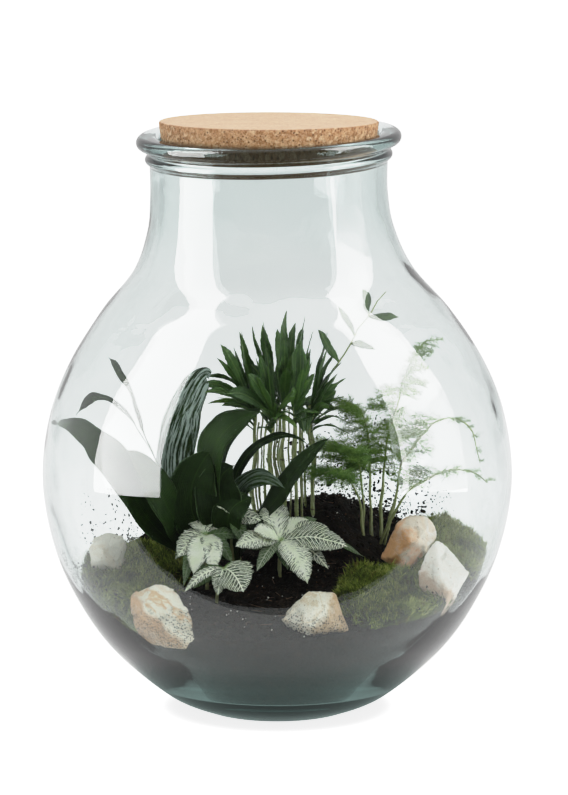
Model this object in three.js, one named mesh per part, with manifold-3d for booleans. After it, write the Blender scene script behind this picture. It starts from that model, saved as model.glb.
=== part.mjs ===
import * as THREE from "three";
import { ConvexGeometry } from "three/addons/geometries/ConvexGeometry.js";
import { mergeVertices } from "three/addons/utils/BufferGeometryUtils.js";
import Module from "manifold-3d";

const wasm = await Module();
wasm.setup();

// Glass plant terrarium, in millimetres. The jar stands on Z = 0 with its axis on Z, and the
// front is towards -Y. The neck of this hand-made jar leans a little, and the stopper sits level.

const AROUND = 36;
const SEAT_GAP = 0.35;
const SEAT_SCALE = 1.03;
const WALL_GAP = 0.5;

// Outside of the glass as radius and height, from the foot to the neck.
const OUTER_WALL = [
  [56, 0], [86, 14], [126.5, 50], [152.8, 90], [168.4, 130], [175, 175], [169.8, 220],
  [155, 260], [129.5, 300], [104, 330], [91.5, 360], [88, 385], [88, 410],
];
const WALL_STEPS = 13;
const FLOOR_HEIGHT = 15.5;
const FOOT_WALL = 11;
const BODY_WALL = 4.8;
const NECK_WALL = 8.2;
const BEAD = { radius: 91.4, height: 414.7, halfHeight: 3.4 };
const LIP = { centreRadius: 93, centreHeight: 427, radius: 5.1, steps: 4 };
const MOUTH_RADIUS = 79.8;
const LEAN = { shift: -6.2, from: 275, to: 400 };
const TILT = { rightUp: 0.025, backUp: 0.05, from: 300, to: 400 };

const CORK = { top: 440.5, thickness: 28, topRadius: 81.3, taper: 1 / 7, edge: 1.5 };

// Soil surface: a gentle slope up to the back and the right, and a heap with a steeper right side.
const SOIL = { level: 97, backSlope: 0.11, rightSlope: 0.05 };
const HEAP = { x: 35, y: 65, height: 38, spreadLeft: 58, spreadRight: 30, spreadDeep: 60 };
const ROOT_DEPTH = 9;
const HOLE_GAP = 0.5;

const UP = new THREE.Vector3(0, 0, 1);

function smooth(from, to, value) {
  return THREE.MathUtils.smoothstep(value, from, to);
}

function vector(point) {
  return new THREE.Vector3(...point);
}

// Closed body from rings of equal count; a ring of one point is a pointed end.
function loft(rings) {
  const points = [];
  const starts = rings.map((ring) => {
    const start = points.length;
    points.push(...ring);
    return start;
  });
  const count = Math.max(...rings.map((ring) => ring.length));
  const faces = [];
  const triangle = (a, b, c) => {
    if (a !== b && b !== c && c !== a) faces.push(a, b, c);
  };
  const at = (ring, k) => starts[ring] + (rings[ring].length === 1 ? 0 : k % count);
  for (let ring = 0; ring + 1 < rings.length; ring++) {
    for (let k = 0; k < count; k++) {
      triangle(at(ring, k), at(ring, k + 1), at(ring + 1, k + 1));
      triangle(at(ring, k), at(ring + 1, k + 1), at(ring + 1, k));
    }
  }
  const last = rings.length - 1;
  for (let k = 1; k + 1 < count; k++) {
    triangle(at(0, 0), at(0, k + 1), at(0, k));
    triangle(at(last, 0), at(last, k), at(last, k + 1));
  }
  return facingOut(points, faces);
}

function facingOut(points, faces) {
  let volume = 0;
  for (let i = 0; i < faces.length; i += 3) {
    const [a, b, c] = [points[faces[i]], points[faces[i + 1]], points[faces[i + 2]]];
    volume += a.dot(b.clone().cross(c));
  }
  const geometry = new THREE.BufferGeometry().setFromPoints(points);
  geometry.setIndex(volume > 0 ? faces : faces.slice().reverse());
  return geometry;
}

function welded(source) {
  const geometry = source.clone();
  geometry.deleteAttribute("normal");
  geometry.deleteAttribute("uv");
  const merged = mergeVertices(geometry, 1e-4);
  const position = merged.getAttribute("position");
  const points = [];
  for (let i = 0; i < position.count; i++) {
    points.push(new THREE.Vector3().fromBufferAttribute(position, i));
  }
  const index = merged.getIndex().array;
  const faces = [];
  for (let i = 0; i < index.length; i += 3) {
    const [a, b, c] = [index[i], index[i + 1], index[i + 2]];
    if (a !== b && b !== c && c !== a) faces.push(a, b, c);
  }
  return facingOut(points, faces);
}

function toSolid(geometry) {
  const mesh = new wasm.Mesh({
    numProp: 3,
    vertProperties: new Float32Array(geometry.getAttribute("position").array),
    triVerts: new Uint32Array(geometry.getIndex().array),
  });
  return new wasm.Manifold(mesh);
}

function toGeometry(solid) {
  const mesh = solid.getMesh();
  const geometry = new THREE.BufferGeometry();
  geometry.setAttribute("position", new THREE.BufferAttribute(new Float32Array(mesh.vertProperties), 3));
  geometry.setIndex(new THREE.BufferAttribute(new Uint32Array(mesh.triVerts), 1));
  return geometry;
}

function joined(geometries) {
  return geometries.map(toSolid).reduce((whole, piece) => whole.add(piece));
}

function largestPiece(solid) {
  return solid.decompose().reduce((a, b) => (a.volume() > b.volume() ? a : b));
}

function polygon(centre, radius, sides, across, over) {
  return Array.from({ length: sides }, (_, k) => {
    const angle = (2 * Math.PI * k) / sides;
    return centre.clone()
      .addScaledVector(across, radius * Math.cos(angle))
      .addScaledVector(over, radius * Math.sin(angle));
  });
}

// Bezier through the given base, control points and tip.
function bezier(points) {
  const list = points.map(vector);
  if (list.length === 2) return new THREE.LineCurve3(...list);
  if (list.length === 3) return new THREE.QuadraticBezierCurve3(...list);
  return new THREE.CubicBezierCurve3(...list);
}

function stem(curve, steps, baseRadius, tipRadius, sides) {
  const rings = [];
  for (let i = 0; i <= steps; i++) {
    const t = i / steps;
    const along = curve.getTangent(t);
    const across = new THREE.Vector3(0, 1, 0).cross(along).normalize();
    const over = along.clone().cross(across);
    const radius = THREE.MathUtils.lerp(baseRadius, tipRadius, t);
    rings.push(polygon(curve.getPoint(t), radius, sides, across, over));
  }
  return loft(rings);
}

// Plain hole round the foot of a stem, over its first steps.
function stemHole(curve, steps, used, radius, sides) {
  const rings = [];
  for (let i = 0; i <= used; i++) {
    const along = curve.getTangent(i / steps);
    const across = new THREE.Vector3(0, 1, 0).cross(along).normalize();
    const centre = curve.getPoint(i / steps).addScaledVector(along, i === 0 ? -SEAT_GAP : 0);
    rings.push(polygon(centre, radius + HOLE_GAP, sides, across, along.clone().cross(across)));
  }
  return loft(rings);
}

// Point of a stem that was lofted in straight steps along the curve.
function onStem(curve, steps, t) {
  const step = Math.min(Math.floor(t * steps), steps - 1);
  return curve.getPoint(step / steps).lerp(curve.getPoint((step + 1) / steps), t * steps - step);
}

// Leaf frame: the direction across the blade and the direction out of its upper face.
function leafFrame(curve, t, face) {
  const along = curve.getTangent(t);
  const across = along.clone().cross(face).normalize();
  return { across, out: across.clone().cross(along) };
}

function defaultFace(curve) {
  const run = curve.getPoint(1).sub(curve.getPoint(0));
  return new THREE.Vector3(-run.x, -run.y, 0).normalize().multiplyScalar(0.6).add(UP);
}

// Waved blade with a folded rib, three points across on each face.
function blade({ path, width, face, peak = 0.5, fold = 0.18, wave = 0, waves = 3, steps = 7, thick = 0.8,
  notch = 0, foot = 1.4 }) {
  const curve = bezier(path);
  const upper = face ? vector(face) : defaultFace(curve);
  const rings = [];
  for (let i = 0; i <= steps; i++) {
    const t = i / steps;
    const { across, out } = leafFrame(curve, t, upper);
    const half = bladeHalfWidth(t, width, peak, foot) * (1 + (i % 2 ? notch : -notch));
    const sway = wave * Math.sin(2 * Math.PI * waves * t) * Math.sin(Math.PI * t);
    const centre = curve.getPoint(t);
    const row = [[-half, fold * half + sway], [0, 0], [half, fold * half - sway]];
    const side = (offset) => row.map(([a, b]) => centre.clone()
      .addScaledVector(across, a)
      .addScaledVector(out, b + offset));
    rings.push([...side(thick / 2), ...side(-thick / 2).reverse()]);
  }
  return loftBlade(rings);
}

function bladeHalfWidth(t, width, peak, foot) {
  const bend = Math.log(0.5) / Math.log(peak);
  const full = Math.pow(Math.sin(Math.PI * Math.pow(t, bend)), 0.8);
  return Math.max((width / 2) * full, foot * (1 - 0.5 * t));
}

// The two faces of a waved blade are split along the same diagonals.
function loftBlade(rings) {
  const points = rings.flat();
  const faces = [];
  const at = (ring, k) => ring * 6 + k;
  const quad = (a, b, c, d) => faces.push(a, b, c, a, c, d);
  for (let r = 0; r + 1 < rings.length; r++) {
    quad(at(r, 0), at(r, 1), at(r + 1, 1), at(r + 1, 0));
    quad(at(r + 1, 1), at(r, 1), at(r, 2), at(r + 1, 2));
    quad(at(r, 2), at(r, 3), at(r + 1, 3), at(r + 1, 2));
    quad(at(r, 3), at(r, 4), at(r + 1, 4), at(r + 1, 3));
    quad(at(r + 1, 4), at(r, 4), at(r, 5), at(r + 1, 5));
    quad(at(r, 5), at(r, 0), at(r + 1, 0), at(r + 1, 5));
  }
  const last = rings.length - 1;
  quad(at(0, 5), at(0, 4), at(0, 1), at(0, 0));
  quad(at(0, 4), at(0, 3), at(0, 2), at(0, 1));
  quad(at(last, 0), at(last, 1), at(last, 4), at(last, 5));
  quad(at(last, 1), at(last, 2), at(last, 3), at(last, 4));
  return facingOut(points, faces);
}

// Slim pointed leaflet with a raised rib on both faces.
function leaflet({ path, width, face, thick = 1.4, peak = 0.45 }) {
  const curve = bezier(path);
  const upper = face ? vector(face) : defaultFace(curve);
  const rings = [[curve.getPoint(0)]];
  for (const t of [0.16, peak, 0.78]) {
    const { across, out } = leafFrame(curve, t, upper);
    const half = bladeHalfWidth(t, width, peak, 0.9);
    const centre = curve.getPoint(t);
    rings.push([
      centre.clone().addScaledVector(across, -half).addScaledVector(out, 0.15 * half),
      centre.clone().addScaledVector(out, thick / 2),
      centre.clone().addScaledVector(across, half).addScaledVector(out, 0.15 * half),
      centre.clone().addScaledVector(out, -thick / 2),
    ]);
  }
  rings.push([curve.getPoint(1)]);
  return loft(rings);
}

const outerWall = new THREE.SplineCurve(OUTER_WALL.map(([r, z]) => new THREE.Vector2(r, z)));

function wallThickness(height) {
  const foot = THREE.MathUtils.lerp(FOOT_WALL, BODY_WALL, smooth(14, 110, height));
  return foot + (NECK_WALL - BODY_WALL) * smooth(320, 385, height);
}

// Inside of the glass, or of the space that lies `inset` millimetres clear of it.
function innerWall(inset) {
  const points = [new THREE.Vector2(0, FLOOR_HEIGHT + inset), new THREE.Vector2(42, FLOOR_HEIGHT + 1.5 + inset)];
  for (let i = 1; i <= WALL_STEPS; i++) {
    const t = THREE.MathUtils.lerp(1 / (OUTER_WALL.length - 1), 1, (i - 1) / (WALL_STEPS - 1));
    const outside = outerWall.getPoint(t);
    const along = outerWall.getTangent(t);
    const depth = wallThickness(outside.y) + inset;
    points.push(new THREE.Vector2(outside.x - along.y * depth, outside.y + along.x * depth));
  }
  return points;
}

function lipSection() {
  const points = [
    new THREE.Vector2(BEAD.radius, BEAD.height),
    new THREE.Vector2(OUTER_WALL.at(-1)[0] + 0.8, BEAD.height + BEAD.halfHeight),
  ];
  for (let i = 0; i <= LIP.steps; i++) {
    const angle = THREE.MathUtils.degToRad(-75 + (165 * i) / LIP.steps);
    points.push(new THREE.Vector2(LIP.centreRadius + LIP.radius * Math.cos(angle),
      LIP.centreHeight + LIP.radius * Math.sin(angle)));
  }
  points.push(new THREE.Vector2(84, LIP.centreHeight + 4.4));
  points.push(new THREE.Vector2(MOUTH_RADIUS + 0.6, LIP.centreHeight + 1));
  return points;
}

function turned(profile) {
  return welded(new THREE.LatheGeometry(profile, AROUND).rotateX(Math.PI / 2));
}

// The neck leans and the rim tips.
function leaned(geometry) {
  const position = geometry.getAttribute("position");
  for (let i = 0; i < position.count; i++) {
    const x = position.getX(i);
    const y = position.getY(i);
    const z = position.getZ(i);
    const rampUp = THREE.MathUtils.clamp((z - TILT.from) / (TILT.to - TILT.from), 0, 1);
    position.setX(i, x + LEAN.shift * smooth(LEAN.from, LEAN.to, z));
    position.setZ(i, z + rampUp * (TILT.rightUp * x + TILT.backUp * y));
  }
  return geometry;
}

function glassJar() {
  const outside = [new THREE.Vector2(0, 0), ...outerWall.getPoints(WALL_STEPS)];
  const inside = innerWall(0).reverse();
  return leaned(turned([...outside, ...lipSection(), ...inside]));
}

function corkStopper() {
  const bottom = CORK.top - CORK.thickness;
  const radiusAt = (z) => CORK.topRadius - (CORK.top - z) * CORK.taper;
  const profile = [
    [0, bottom], [radiusAt(bottom) - CORK.edge, bottom], [radiusAt(bottom), bottom + CORK.edge],
    [radiusAt(CORK.top), CORK.top - CORK.edge], [radiusAt(CORK.top) - CORK.edge, CORK.top], [0, CORK.top],
  ];
  return turned(profile.map(([r, z]) => new THREE.Vector2(r, z))).translate(LEAN.shift, 0, 0);
}

function soilHeight(x, y) {
  const spread = x > HEAP.x ? HEAP.spreadRight : HEAP.spreadLeft;
  const across = (x - HEAP.x) / spread;
  const deep = (y - HEAP.y) / HEAP.spreadDeep;
  const heap = HEAP.height * Math.exp(-0.5 * (across * across + deep * deep));
  const crumbs = Math.sin(x / 9.1 + 1.3) * Math.cos(y / 11.7) + 0.7 * Math.sin(x / 5.9 - y / 6.7);
  return SOIL.level + SOIL.backSlope * y + SOIL.rightSlope * x + heap + crumbs;
}

// Block with the soil surface as its top, wider than the jar.
function underSoil(lift) {
  const reach = [190, 168, 150, 132, 114, 96, 78, 60, 42, 26, 12];
  const ring = (radius, heightAt) => Array.from({ length: AROUND }, (_, k) => {
    const angle = (2 * Math.PI * k) / AROUND;
    const x = radius * Math.sin(angle);
    const y = -radius * Math.cos(angle);
    return new THREE.Vector3(x, y, heightAt(x, y));
  });
  const bottom = -10;
  const rings = [[new THREE.Vector3(0, 0, bottom)], ring(reach[0], () => bottom)];
  reach.forEach((radius) => rings.push(ring(radius, (x, y) => soilHeight(x, y) + lift)));
  rings.push([new THREE.Vector3(0, 0, soilHeight(0, 0) + lift)]);
  return toSolid(loft(rings));
}

function jarSpace(inset) {
  return toSolid(turned([...innerWall(inset), new THREE.Vector2(0, 400)]));
}

const soilBlock = underSoil(0);
const soilLifted = underSoil(SEAT_GAP);
const insideGlass = jarSpace(WALL_GAP);

// Stones by centre and by their corners, measured from the centre.
const STONES = {
  stone_front_left: {
    colour: 0xdcb88c, centre: [-83, -106, 92],
    corners: [
      [-22, 4, 14], [-3, 2, 23], [3, 4, 22], [13, 2, 14], [22, 0, 0], [25, -3, -14], [20, 4, -22],
      [-10, 2, -22], [-19, 4, -11], [-22, 8, 8], [-12, -11, 11], [-5, -17, 0], [9, -15, -9],
      [-10, 19, 14], [10, 18, 9], [13, 17, -16], [-12, 18, -14],
    ],
  },
  stone_front_centre: {
    colour: 0xe6d6b8, centre: [26, -127, 95],
    corners: [
      [-27, 4, -4], [-6, 2, 16], [-1, 5, 18], [15, 4, 17], [17, 2, 11], [25, -2, -10], [23, 6, -16],
      [-2, -3, -19], [-14, 3, -12], [2, -10, 11], [13, -10, -2], [-8, -8, -4],
      [-14, 20, 6], [12, 22, 10], [20, 20, -14], [-10, 22, -15],
    ],
  },
  stone_right_pale: {
    colour: 0xe8d2c0, centre: [118, -85, 114],
    corners: [
      [-3, 4, 28], [3, 6, 25], [12, 2, 10], [20, 2, 5], [14, 0, -6], [1, -2, -28], [-7, -2, -17],
      [-15, 0, -6], [-16, 2, 5], [-11, 2, 18], [-2, -10, 6], [4, -9, -9],
      [-6, 15, 15], [9, 15, 4], [3, 13, -18], [-11, 14, -4],
    ],
  },
  stone_right_rust: {
    colour: 0xc88a4c, centre: [97, -8, 126],
    corners: [
      [-20, 2, -11], [-13, 0, 3], [-9, -2, 15], [2, 0, 21], [12, 2, 20], [18, 3, 14], [23, 2, 4],
      [16, -6, -4], [-2, -8, -20], [-11, -6, -13], [0, -14, 5], [-6, -12, -8],
      [-8, 16, 12], [11, 17, 14], [15, 15, -15], [-12, 15, -15],
    ],
  },
  stone_left_back: {
    colour: 0xd8ccb8, centre: [-128, 12, 113],
    corners: [
      [-14, 0, 4], [-9, -2, 13], [0, 0, 17], [8, 0, 14], [13, 2, 6], [12, 0, -14], [-11, 0, -16],
      [-2, -12, 4], [6, -10, -8], [-8, -9, -6], [0, 14, 12], [9, 12, -12], [-10, 13, -10],
    ],
  },
};

function stoneSolid({ centre, corners }, scale) {
  const hull = welded(new ConvexGeometry(corners.map(vector)));
  return toSolid(hull).scale(scale).translate(centre);
}

const stoneSeats = Object.values(STONES).map((stone) => stoneSolid(stone, SEAT_SCALE));

// Moss pads: centre and half sizes of each, and the height of its dome over the soil.
const MOSS = {
  moss_left: { centre: [-113, -10], reach: [43, 92], dome: 8, phase: 0.4 },
  moss_front_right: { centre: [84, -72], reach: [42, 54], dome: 8, phase: 1.9 },
  moss_back_right: { centre: [128, 38], reach: [33, 72], dome: 10, phase: 3.1 },
};

function mossPad({ centre, reach, dome, phase }) {
  const sides = 16;
  const levels = [[1, -8], [1, 2.5], [0.9, dome * 0.75], [0.68, dome], [0.42, dome], [0.18, dome]];
  const ring = ([share, lift], row) => Array.from({ length: sides }, (_, k) => {
    const angle = (2 * Math.PI * k) / sides;
    const lobes = 1 + 0.07 * Math.sin(3 * angle + phase) + 0.05 * Math.sin(7 * angle - phase);
    const x = centre[0] + reach[0] * share * lobes * Math.cos(angle);
    const y = centre[1] + reach[1] * share * lobes * Math.sin(angle);
    const tuft = row < 2 ? 0 : 1.5 * Math.sin(2.3 * k + 1.7 * row + phase);
    return new THREE.Vector3(x, y, soilHeight(x, y) + lift + tuft);
  });
  const [x, y] = centre;
  const pad = loft([
    [new THREE.Vector3(x, y, soilHeight(x, y) - 8)],
    ...levels.map(ring),
    [new THREE.Vector3(x, y, soilHeight(x, y) + dome + 1)],
  ]);
  const seated = stoneSeats.reduce((whole, seat) => whole.subtract(seat), toSolid(pad).subtract(soilLifted));
  return largestPiece(seated.intersect(jarSpace(WALL_GAP + 0.1)));
}

// Parlour palm: a ring of canes and a few inside it. Each cane keeps its leaflets to its own sector.
const PALM = { x: 5, y: 50, outerCanes: 8, outerRing: 24, innerCanes: 4, innerRing: 9, caneRadius: 1.5 };
const PALM_OUTER_LEAFLETS = [
  { drop: 15, turn: -12, rise: 22, length: 42, width: 8.5, arch: 0.3 },
  { drop: 12, turn: 12, rise: 30, length: 42, width: 8, arch: 0.28 },
  { drop: 8, turn: 0, rise: 46, length: 48, width: 9, arch: 0.2 },
  { drop: 5, turn: -10, rise: 60, length: 54, width: 8, arch: 0.14 },
  { drop: 3, turn: 10, rise: 66, length: 58, width: 7.5, arch: 0.1 },
  { drop: 0, turn: 0, rise: 77, length: 68, width: 7.5, arch: 0.06 },
];
const PALM_INNER_LEAFLETS = [
  { drop: 10, turn: -26, rise: 70, length: 52, width: 8, arch: 0.08 },
  { drop: 7, turn: 26, rise: 73, length: 58, width: 8, arch: 0.08 },
  { drop: 4, turn: 0, rise: 76, length: 68, width: 8, arch: 0.06 },
  { drop: 0, turn: -10, rise: 84, length: 76, width: 7, arch: 0.03 },
];
// Sectors that face a neighbour plant: shorter and steeper there.
const PALM_CROWDED = { 3: 0.66, 4: 0.6, 5: 0.6, 6: 0.72, 7: 0.68 };

function palmLeaflet(x, y, z, heading, leaf, reach) {
  const angle = THREE.MathUtils.degToRad(heading + leaf.turn);
  const rise = THREE.MathUtils.degToRad(leaf.rise);
  const length = leaf.length * (leaf.rise < 60 ? reach : 1);
  const flat = length * Math.cos(rise);
  const high = length * Math.sin(rise);
  const via = [x + 0.5 * flat * Math.cos(angle), y + 0.5 * flat * Math.sin(angle), z + high * 0.5 + length * leaf.arch];
  const tip = [x + flat * Math.cos(angle), y + flat * Math.sin(angle), z + high];
  return leaflet({ path: [[x, y, z], via, tip], width: leaf.width });
}

function palmStem(heading, ring, top, leaflets, reach) {
  const angle = THREE.MathUtils.degToRad(heading);
  const x = PALM.x + ring * Math.cos(angle);
  const y = PALM.y + ring * Math.sin(angle);
  const foot = soilHeight(x, y) - ROOT_DEPTH + 1;
  const line = bezier([[x, y, foot], [x, y, top + 1]]);
  const cane = stem(line, 1, PALM.caneRadius, PALM.caneRadius * 0.8, 6);
  const pieces = leaflets.map((leaf) => palmLeaflet(x, y, top - leaf.drop, heading, leaf, reach));
  return { pieces: [cane, ...pieces], hole: stemHole(line, 1, 1, PALM.caneRadius, 6) };
}

// One frond of the palm reaches up to the right, with leaflets along its rib.
function palmFrond() {
  const angle = Math.PI / PALM.outerCanes;
  const root = [PALM.x + PALM.outerRing * Math.cos(angle), PALM.y + PALM.outerRing * Math.sin(angle), 201];
  const rib = [root, [root[0] + 10, root[1] + 2, root[2] + 48], [84, 62, 305]];
  const curve = bezier(rib);
  const ribSteps = 5;
  const pieces = [stem(curve, ribSteps, 1.1, 0.6, 4)];
  const leaflets = [[0.5, -14, 24], [0.64, 18, -4], [0.68, -10, 24], [0.84, 20, 0], [0.86, -6, 20]];
  for (const [t, dx, dz] of leaflets) {
    const base = onStem(curve, ribSteps, t);
    const via = [base.x + dx * 0.6, base.y - 3, base.z + dz * 0.6 + 2];
    const tip = [base.x + dx * 1.1, base.y - 4, base.z + dz];
    pieces.push(leaflet({ path: [base.toArray(), via, tip], width: 8, face: [0.2, -1, 0.4] }));
  }
  return pieces;
}

// Dark broad-leaved plant: each leaf is a base, one or two bends and a tip.
const DRACAENA = {
  dracaena_left: {
    root: [-62, 15], radius: 2.6,
    leaves: [
      { bend: [[-90, 30, 180], [-70, 34, 262]], tip: [-50, 30, 232], width: 25, wave: 1.2, face: [0.3, -1, 0.1] },
      { bend: [[-100, -25, 140], [-128, -30, 205]], tip: [-159, -12, 211], width: 22, wave: 1.6, face: [0.6, -0.8, 1] },
      { bend: [[-80, -22, 132], [-108, -46, 170]], tip: [-131, -44, 194], width: 22, wave: 1.6, face: [0.7, -0.7, 1] },
      { bend: [[-92, 36, 180], [-112, 32, 240]], tip: [-127, 22, 262], width: 13, wave: 1, face: [0.9, -0.7, 0.5] },
      { bend: [[-90, 10, 205], [-128, 14, 262]], tip: [-151, 10, 219], width: 12, wave: 0.8, face: [0.9, -0.7, 0.5] },
    ],
  },
  dracaena_right: {
    root: [-30, 4], radius: 2.6,
    leaves: [
      { bend: [[-52, -14, 165], [-52, -22, 234]], tip: [-14, -8, 230], width: 32, wave: 1.2, face: [0, -1, 0.15] },
      { bend: [[-28, -8, 186], [4, -22, 232]], tip: [28, -22, 194], width: 8, wave: 0.5, face: [0.2, -0.8, 0.6] },
      { bend: [[-12, 0, 162], [6, -12, 190]], tip: [38, -30, 210], width: 17, wave: 1, face: [-0.5, -0.9, 0.3] },
      { bend: [[-46, -3, 140], [-56, -5, 160]], tip: [-66, -9, 178], width: 22, wave: 1.4, face: [0.4, -1, 0.5] },
      { bend: [[-22, 12, 140], [-20, 14, 165]], tip: [-22, 6, 188], width: 22, wave: 1.4, face: [0, -1, 0.3] },
      { bend: [[-18, 10, 130], [-12, 16, 150]], tip: [-5, 12, 168], width: 14, wave: 1, face: [-0.5, -1, 0.3] },
    ],
  },
};

function dracaenaStem({ root: [x, y], radius, leaves }) {
  const foot = soilHeight(x, y) - ROOT_DEPTH + 1;
  const collar = soilHeight(x, y) + 8;
  const line = bezier([[x, y, foot], [x, y, collar + 2]]);
  const trunk = stem(line, 1, radius, radius * 0.9, 8);
  const blades = leaves.map((leaf, i) => blade({
    path: [[x, y, collar - 1.2 * i], ...leaf.bend, leaf.tip],
    width: leaf.width, wave: leaf.wave, face: leaf.face, peak: 0.48, foot: 1.8, thick: 0.9,
  }));
  return { pieces: [trunk, ...blades], hole: stemHole(line, 1, 1, radius, 8) };
}

// Fittonia: each leafy stem has a root, a top and the tips of its leaves with their widths.
const FITTONIA = {
  fittonia_right: {
    root: [3, -24], top: [3, -25, 131], radius: 1.3,
    leaves: [[4, 0, 151, 17], [-18, -36, 140, 17], [-31, -46, 131, 17], [21, -10, 143, 16], [51, -38, 127, 21],
      [22, -60, 105, 19], [32, -2, 134, 11]],
  },
  fittonia_left: {
    root: [-53, -30], top: [-53, -30, 136], radius: 1.3,
    leaves: [[-38, -12, 139, 13], [-72, -46, 122, 15], [-61, -62, 114, 15], [-46, -56, 119, 15], [-68, -22, 144, 12]],
  },
  fittonia_front: {
    root: [-46, -60], top: [-47, -61, 110], radius: 1.2,
    leaves: [[-16, -70, 107, 25], [-68, -82, 104, 8], [-44, -82, 101, 12]],
  },
  fittonia_back: {
    root: [-33, -21], top: [-36, -20, 147], radius: 1.2,
    leaves: [[-13, -24, 147, 14], [-42, -30, 157, 11]],
  },
};

const FITTONIA_FACE = [0, -0.6, 0.8];

function fittoniaStem({ root: [x, y], top, radius, leaves }) {
  const foot = soilHeight(x, y) - ROOT_DEPTH + 1;
  const middle = [x, y, (foot + top[2]) / 2];
  const line = bezier([[x, y, foot], middle, [top[0], top[1], top[2] + 0.8]]);
  const stalk = stem(line, 2, radius, radius, 6);
  const blades = leaves.map(([tx, ty, tz, width]) => {
    const length = Math.hypot(tx - top[0], ty - top[1], tz - top[2]);
    const via = [(tx + top[0]) / 2, (ty + top[1]) / 2, Math.max(tz, top[2]) * 0.5 + (tz + top[2]) / 4 + 0.16 * length];
    return blade({ path: [top, via, [tx, ty, tz]], width, face: FITTONIA_FACE, peak: 0.55, steps: 5, notch: 0.06,
      fold: 0.12, foot: 0.9 });
  });
  return { pieces: [stalk, ...blades], hole: stemHole(line, 2, 2, radius, 6) };
}

// Asparagus fern: six wiry stems that arch apart, with flat sprays of needles.
const FERN = { stemRadius: 1.2, tipRadius: 0.9, stemSteps: 6, sprays: 7, sprayRadius: 0.78, needles: 3,
  needleLength: 9, needleRadius: 0.3, needleTilt: 0.7 };
const FERN_STEMS = {
  fern_stem_low_left: { root: [68, 37], bend: [[66, 32, 150], [54, 18, 182]], tip: [35, 4, 176], reach: 24 },
  fern_stem_mid_left: { root: [68, 45], bend: [[66, 38, 165], [62, 26, 199]], tip: [46, 14, 192], reach: 21 },
  fern_stem_high_left: { root: [73, 51], bend: [[73, 54, 180], [68, 52, 230]], tip: [51, 46, 220], reach: 19 },
  fern_stem_tall: { root: [79, 51], bend: [[80, 60, 190], [95, 60, 250]], tip: [115, 42, 270], reach: 20 },
  fern_stem_arch: { root: [81, 44], bend: [[92, 42, 200], [140, 34, 256]], tip: [156, 28, 178], reach: 12 },
  fern_stem_low_right: { root: [76, 38], bend: [[92, 22, 170], [128, 6, 194]], tip: [156, -16, 172], reach: 16 },
};

function fernSpray(base, heading, length) {
  const tip = base.clone().addScaledVector(heading, length).add(new THREE.Vector3(0, 0, -0.08 * length));
  const curve = new THREE.LineCurve3(base, tip);
  const pieces = [stem(curve, 1, FERN.sprayRadius, FERN.sprayRadius * 0.85, 3)];
  const across = new THREE.Vector3(-heading.y, heading.x, 0).normalize();
  for (let i = 0; i < FERN.needles; i++) {
    const t = (i + 0.8) / (FERN.needles + 0.3);
    for (const side of [-1, 1]) {
      const foot = curve.getPoint(t);
      const tilt = FERN.needleTilt * (i % 2 ? side : -side);
      const along = heading.clone().multiplyScalar(0.62).addScaledVector(across, side * 0.78);
      along.addScaledVector(UP, tilt).normalize();
      const end = foot.clone().addScaledVector(along, FERN.needleLength * (1.15 - 0.5 * t));
      const over = along.clone().cross(UP).normalize();
      pieces.push(loft([polygon(foot, FERN.needleRadius, 3, over, over.clone().cross(along)), [end]]));
    }
  }
  return pieces;
}

function fernStem({ root: [x, y], bend, tip, reach }) {
  const foot = soilHeight(x, y) - ROOT_DEPTH + 1;
  const curve = bezier([[x, y, foot], ...bend, tip]);
  const pieces = [stem(curve, FERN.stemSteps, FERN.stemRadius, FERN.tipRadius, 4)];
  for (let i = 0; i < FERN.sprays; i++) {
    const t = THREE.MathUtils.lerp(0.56, 0.97, i / (FERN.sprays - 1));
    const along = curve.getTangent(t);
    const side = i % 2 ? 1 : -1;
    const heading = new THREE.Vector3(along.x, along.y, 0).normalize();
    heading.applyAxisAngle(UP, side * THREE.MathUtils.degToRad(62));
    const length = reach * (0.55 + 0.45 * Math.sin(Math.PI * (0.25 + 0.75 * (i / FERN.sprays))));
    pieces.push(...fernSpray(onStem(curve, FERN.stemSteps, t), heading, length));
  }
  return { pieces, hole: stemHole(curve, FERN.stemSteps, 2, FERN.stemRadius, 4) };
}

function plantStems() {
  const stems = {};
  for (let k = 0; k < PALM.outerCanes; k++) {
    const heading = (360 / PALM.outerCanes) * (k + 0.5);
    const top = 203 + 4 * Math.sin(2.4 * k);
    stems[`palm_outer_${k + 1}`] = palmStem(heading, PALM.outerRing, top, PALM_OUTER_LEAFLETS, PALM_CROWDED[k] ?? 1);
  }
  for (let k = 0; k < PALM.innerCanes; k++) {
    const heading = (360 / PALM.innerCanes) * k;
    const top = 211 + 3 * Math.sin(1.9 * k);
    stems[`palm_inner_${k + 1}`] = palmStem(heading, PALM.innerRing, top, PALM_INNER_LEAFLETS, 1);
  }
  stems.palm_outer_1.pieces.push(...palmFrond());
  for (const [name, plan] of Object.entries(DRACAENA)) stems[name] = dracaenaStem(plan);
  for (const [name, plan] of Object.entries(FITTONIA)) stems[name] = fittoniaStem(plan);
  for (const [name, plan] of Object.entries(FERN_STEMS)) stems[name] = fernStem(plan);
  return stems;
}

function pottingSoil(stems) {
  let soil = soilBlock.intersect(insideGlass);
  for (const seat of stoneSeats) soil = soil.subtract(seat);
  for (const { hole } of Object.values(stems)) soil = soil.subtract(toSolid(hole));
  return largestPiece(soil);
}

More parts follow.
